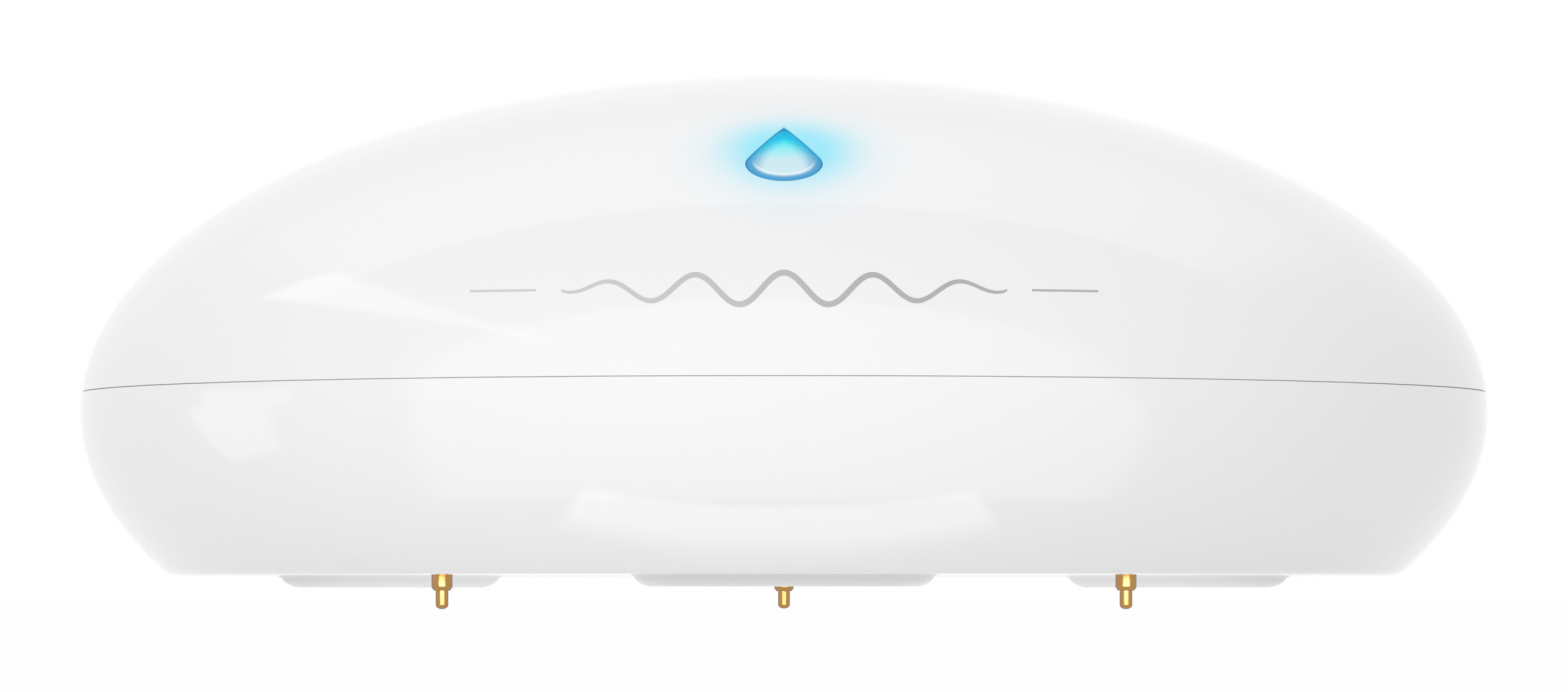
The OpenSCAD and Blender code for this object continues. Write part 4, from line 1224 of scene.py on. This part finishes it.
def makeBead():
    bead = {"long": 1.25, "taper": 0.12, "legStep": 1.2, "leg": 0.25, "foot": 0.42, "legShort": 0.5}
    middle, size = nodeBox("temperature_sensor")
    radius = size.x/2
    centre = middle.z + size.z/2 - radius
    shape = []
    for i in range(1, 20):
        t = math.pi*(0.5 - i/20)
        thin, long = (1, 1) if t > 0 else (1 - bead["taper"]*abs(t), bead["long"])
        shape.append((radius*math.cos(t)*thin, radius*math.sin(t)*long))
    bm = bmesh.new()
    addRound(bm, (middle.x, middle.y, centre), [(0, radius)] + shape + [(0, -bead["long"]*radius)], 36)
    innerPiece("temperatureBead", bm, "bead_brown", "temperature_sensor")
    r, top = bead["leg"], centre - boardTop - bead["legShort"]
    leg = [(0, 0), (bead["foot"], 0), (0.3, 0.22), (r, 0.5), (r, top), (0, top)]
    bm = bmesh.new()
    for side in (-1, 1):
        addRound(bm, (middle.x + side*bead["legStep"]/2, middle.y, boardTop), leg, 20)
    finishPiece("beadLegs", bm, finishes["contact_nickel"], "base")


boardMakers = (makeChip, makeRadio, makeCrystal, makeButtonPlate, makeCapacitor, makeBuzzer, makeLed,
               makeScrews, makeBead)
for make in boardMakers:
    make()
print("board parts ready")


# chip resistors and capacitors in the free places of the board, and the rings round the probes' tails
smallParts = {"size": (1.6, 0.8, 0.55), "cap": 0.32, "pad": (0.5, 0.16, 0.08), "padOut": 0.1,
              "dark": ((5.0, -20.2, 0), (8.0, -20.2, 0), (10.9, -19.6, 0), (-7.6, -18.6, 90),
                       (-9.8, -18.6, 90), (14.2, -13.4, 90), (-14.4, -14.6, 90), (-13.6, 16.8, 0),
                       (4.6, 16.2, 90)),
              "tan": ((5.6, -22.4, 0), (8.4, -22.4, 0), (-12.0, -18.6, 90), (-5.4, -21.6, 0),
                      (3.2, -22.2, 90), (-3.0, 16.0, 0), (-13.6, 18.6, 0), (14.2, -10.8, 90)),
              "ring": ((0.38, -0.02), (0.95, -0.02), (0.95, 0.04), (0.62, 0.2), (0.42, 0.5), (0.38, 0.5),
                       (0.38, -0.02))}


def makeSmallParts():
    p = smallParts
    tan = makeSurface("ceramicTan", tone(186, 158, 118), 0.1, 0.5, 0.1, 300.0)[0]
    long, wide, tall = p["size"]
    body = (long - 2*p["cap"], wide - 0.06, tall - 0.04)
    cap = (p["cap"], wide, tall)
    padLong, padMore, padTall = p["pad"]
    pad = (padLong, wide + padMore, padTall)
    ends = bmesh.new()
    for kind, finish in (("dark", finishes["chip_black"]), ("tan", tan)):
        bm = bmesh.new()
        for x, y, turn in p[kind]:
            addBlock(bm, (x, y, boardTop + tall/2 + 0.03), body, edge=0.06, turn=turn)
            aim = Matrix.Rotation(math.radians(turn), 3, "Z")
            for side in (-1, 1):
                step = aim @ Vector((side*(long - p["cap"])/2, 0, 0))
                addBlock(ends, (x + step.x, y + step.y, boardTop + tall/2), cap, edge=0.05, turn=turn)
                step = aim @ Vector((side*(long/2 + p["padOut"]), 0, 0))
                addBlock(ends, (x + step.x, y + step.y, boardTop + padTall/2), pad, edge=0.03, turn=turn)
        finishPiece(kind + "SmallParts", bm, finish, "base")
    for spot in ringSpots("probe"):
        addRound(ends, (*spot, boardTop), p["ring"], 32)
    innerPiece("solderEnds", ends, "contact_nickel")


makeSmallParts()


# the cell: a shrink sleeve over a steel can, with the plus nub to the right
cell = {"edge": 0.7, "sleeveLip": 0.9, "nub": 3.25, "nubLong": 1.0}


def makeBattery():
    middle, size = nodeBox("battery")
    r, long, nub = size.z/2, size.x, cell["nub"]
    body = long - cell["nubLong"]
    lip = r - cell["sleeveLip"]
    lying = Matrix.Rotation(math.pi/2, 4, "Y")
    place = Matrix.Translation(Vector((middle.x - long/2, middle.y, middle.z))*mm) @ lying
    sleeve = softCorners([(lip, 0.1), (lip, 0), (r, 0), (r, body), (lip, body), (lip, body - 0.1)],
                         cell["edge"], 5)
    core = [(0, 0.08), (lip + 0.02, 0.08), (lip + 0.02, body - 0.08), (lip - 0.8, body - 0.1),
            (lip - 1.2, body - 0.25), (nub + 0.4, body - 0.25), (nub, body), (nub, long - 0.2),
            (nub - 0.2, long), (0, long)]
    bm = bmesh.new()
    spinOutline(bm, sleeve + [sleeve[0]], 96)
    bmesh.ops.transform(bm, matrix=place, verts=bm.verts)
    finish = makeBatterySleeve(middle, long)
    finishPiece("batterySleeve", bm, finish, "base", ("battery",))
    bm = bmesh.new()
    spinOutline(bm, core, 72)
    bmesh.ops.transform(bm, matrix=place, verts=bm.verts)
    innerPiece("batteryCan", bm, "contact_nickel")


def makeCellSpring():
    coil = {"wire": 0.3, "wide": 4.2, "small": 1.8, "curls": 2.5, "points": 120}
    middle, size = nodeBox("negative_spring")
    start, end = middle.x - size.x/2 + coil["wire"], middle.x + size.x/2 - coil["wire"]
    centre = nodeBox("battery")[0]
    spots = []
    for i in range(coil["points"]):
        t = i/(coil["points"] - 1)
        r = coil["wide"] + (coil["small"] - coil["wide"])*t
        turn = 2*math.pi*coil["curls"]*t
        spots.append((start + (end - start)*t, centre.y + r*math.cos(turn), centre.z + r*math.sin(turn)))
    innerPiece("cellSpring", bendWire(spots, coil["wire"], 4), "spring_steel", "negative_spring")


makeBattery()
makeCellSpring()
print("cell ready")


# the sealing ring: a soft square cord that stays with the cover's skirt
def makeSeal():
    seal = {"wide": 1.8, "edge": 0.55}
    middle, size = nodeBox("cover_seal")
    outer = size.x/2
    inner = outer - seal["wide"]
    half = (inner + outer)/2
    low, high = middle.z - size.z/2, middle.z + size.z/2
    ring = [(half, low), (outer, low), (outer, high), (inner, high), (inner, low), (half, low)]
    bm = bmesh.new()
    spinOutline(bm, softCorners(ring, seal["edge"], 6), 192)
    finishPiece("sealRing", bm, finishes["seal_rubber"], "seal_ring", ("cover_seal",))


makeSeal()


# the pieces that keep their solid shape take the same finishes
def dressNodes():
    for node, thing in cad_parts.items():
        for spot in thing.material_slots:
            name = spot.material.name.split(".")[0] if spot.material else ""
            if name in finishes:
                spot.material = finishes[name]


dressNodes()
print("nodes dressed")
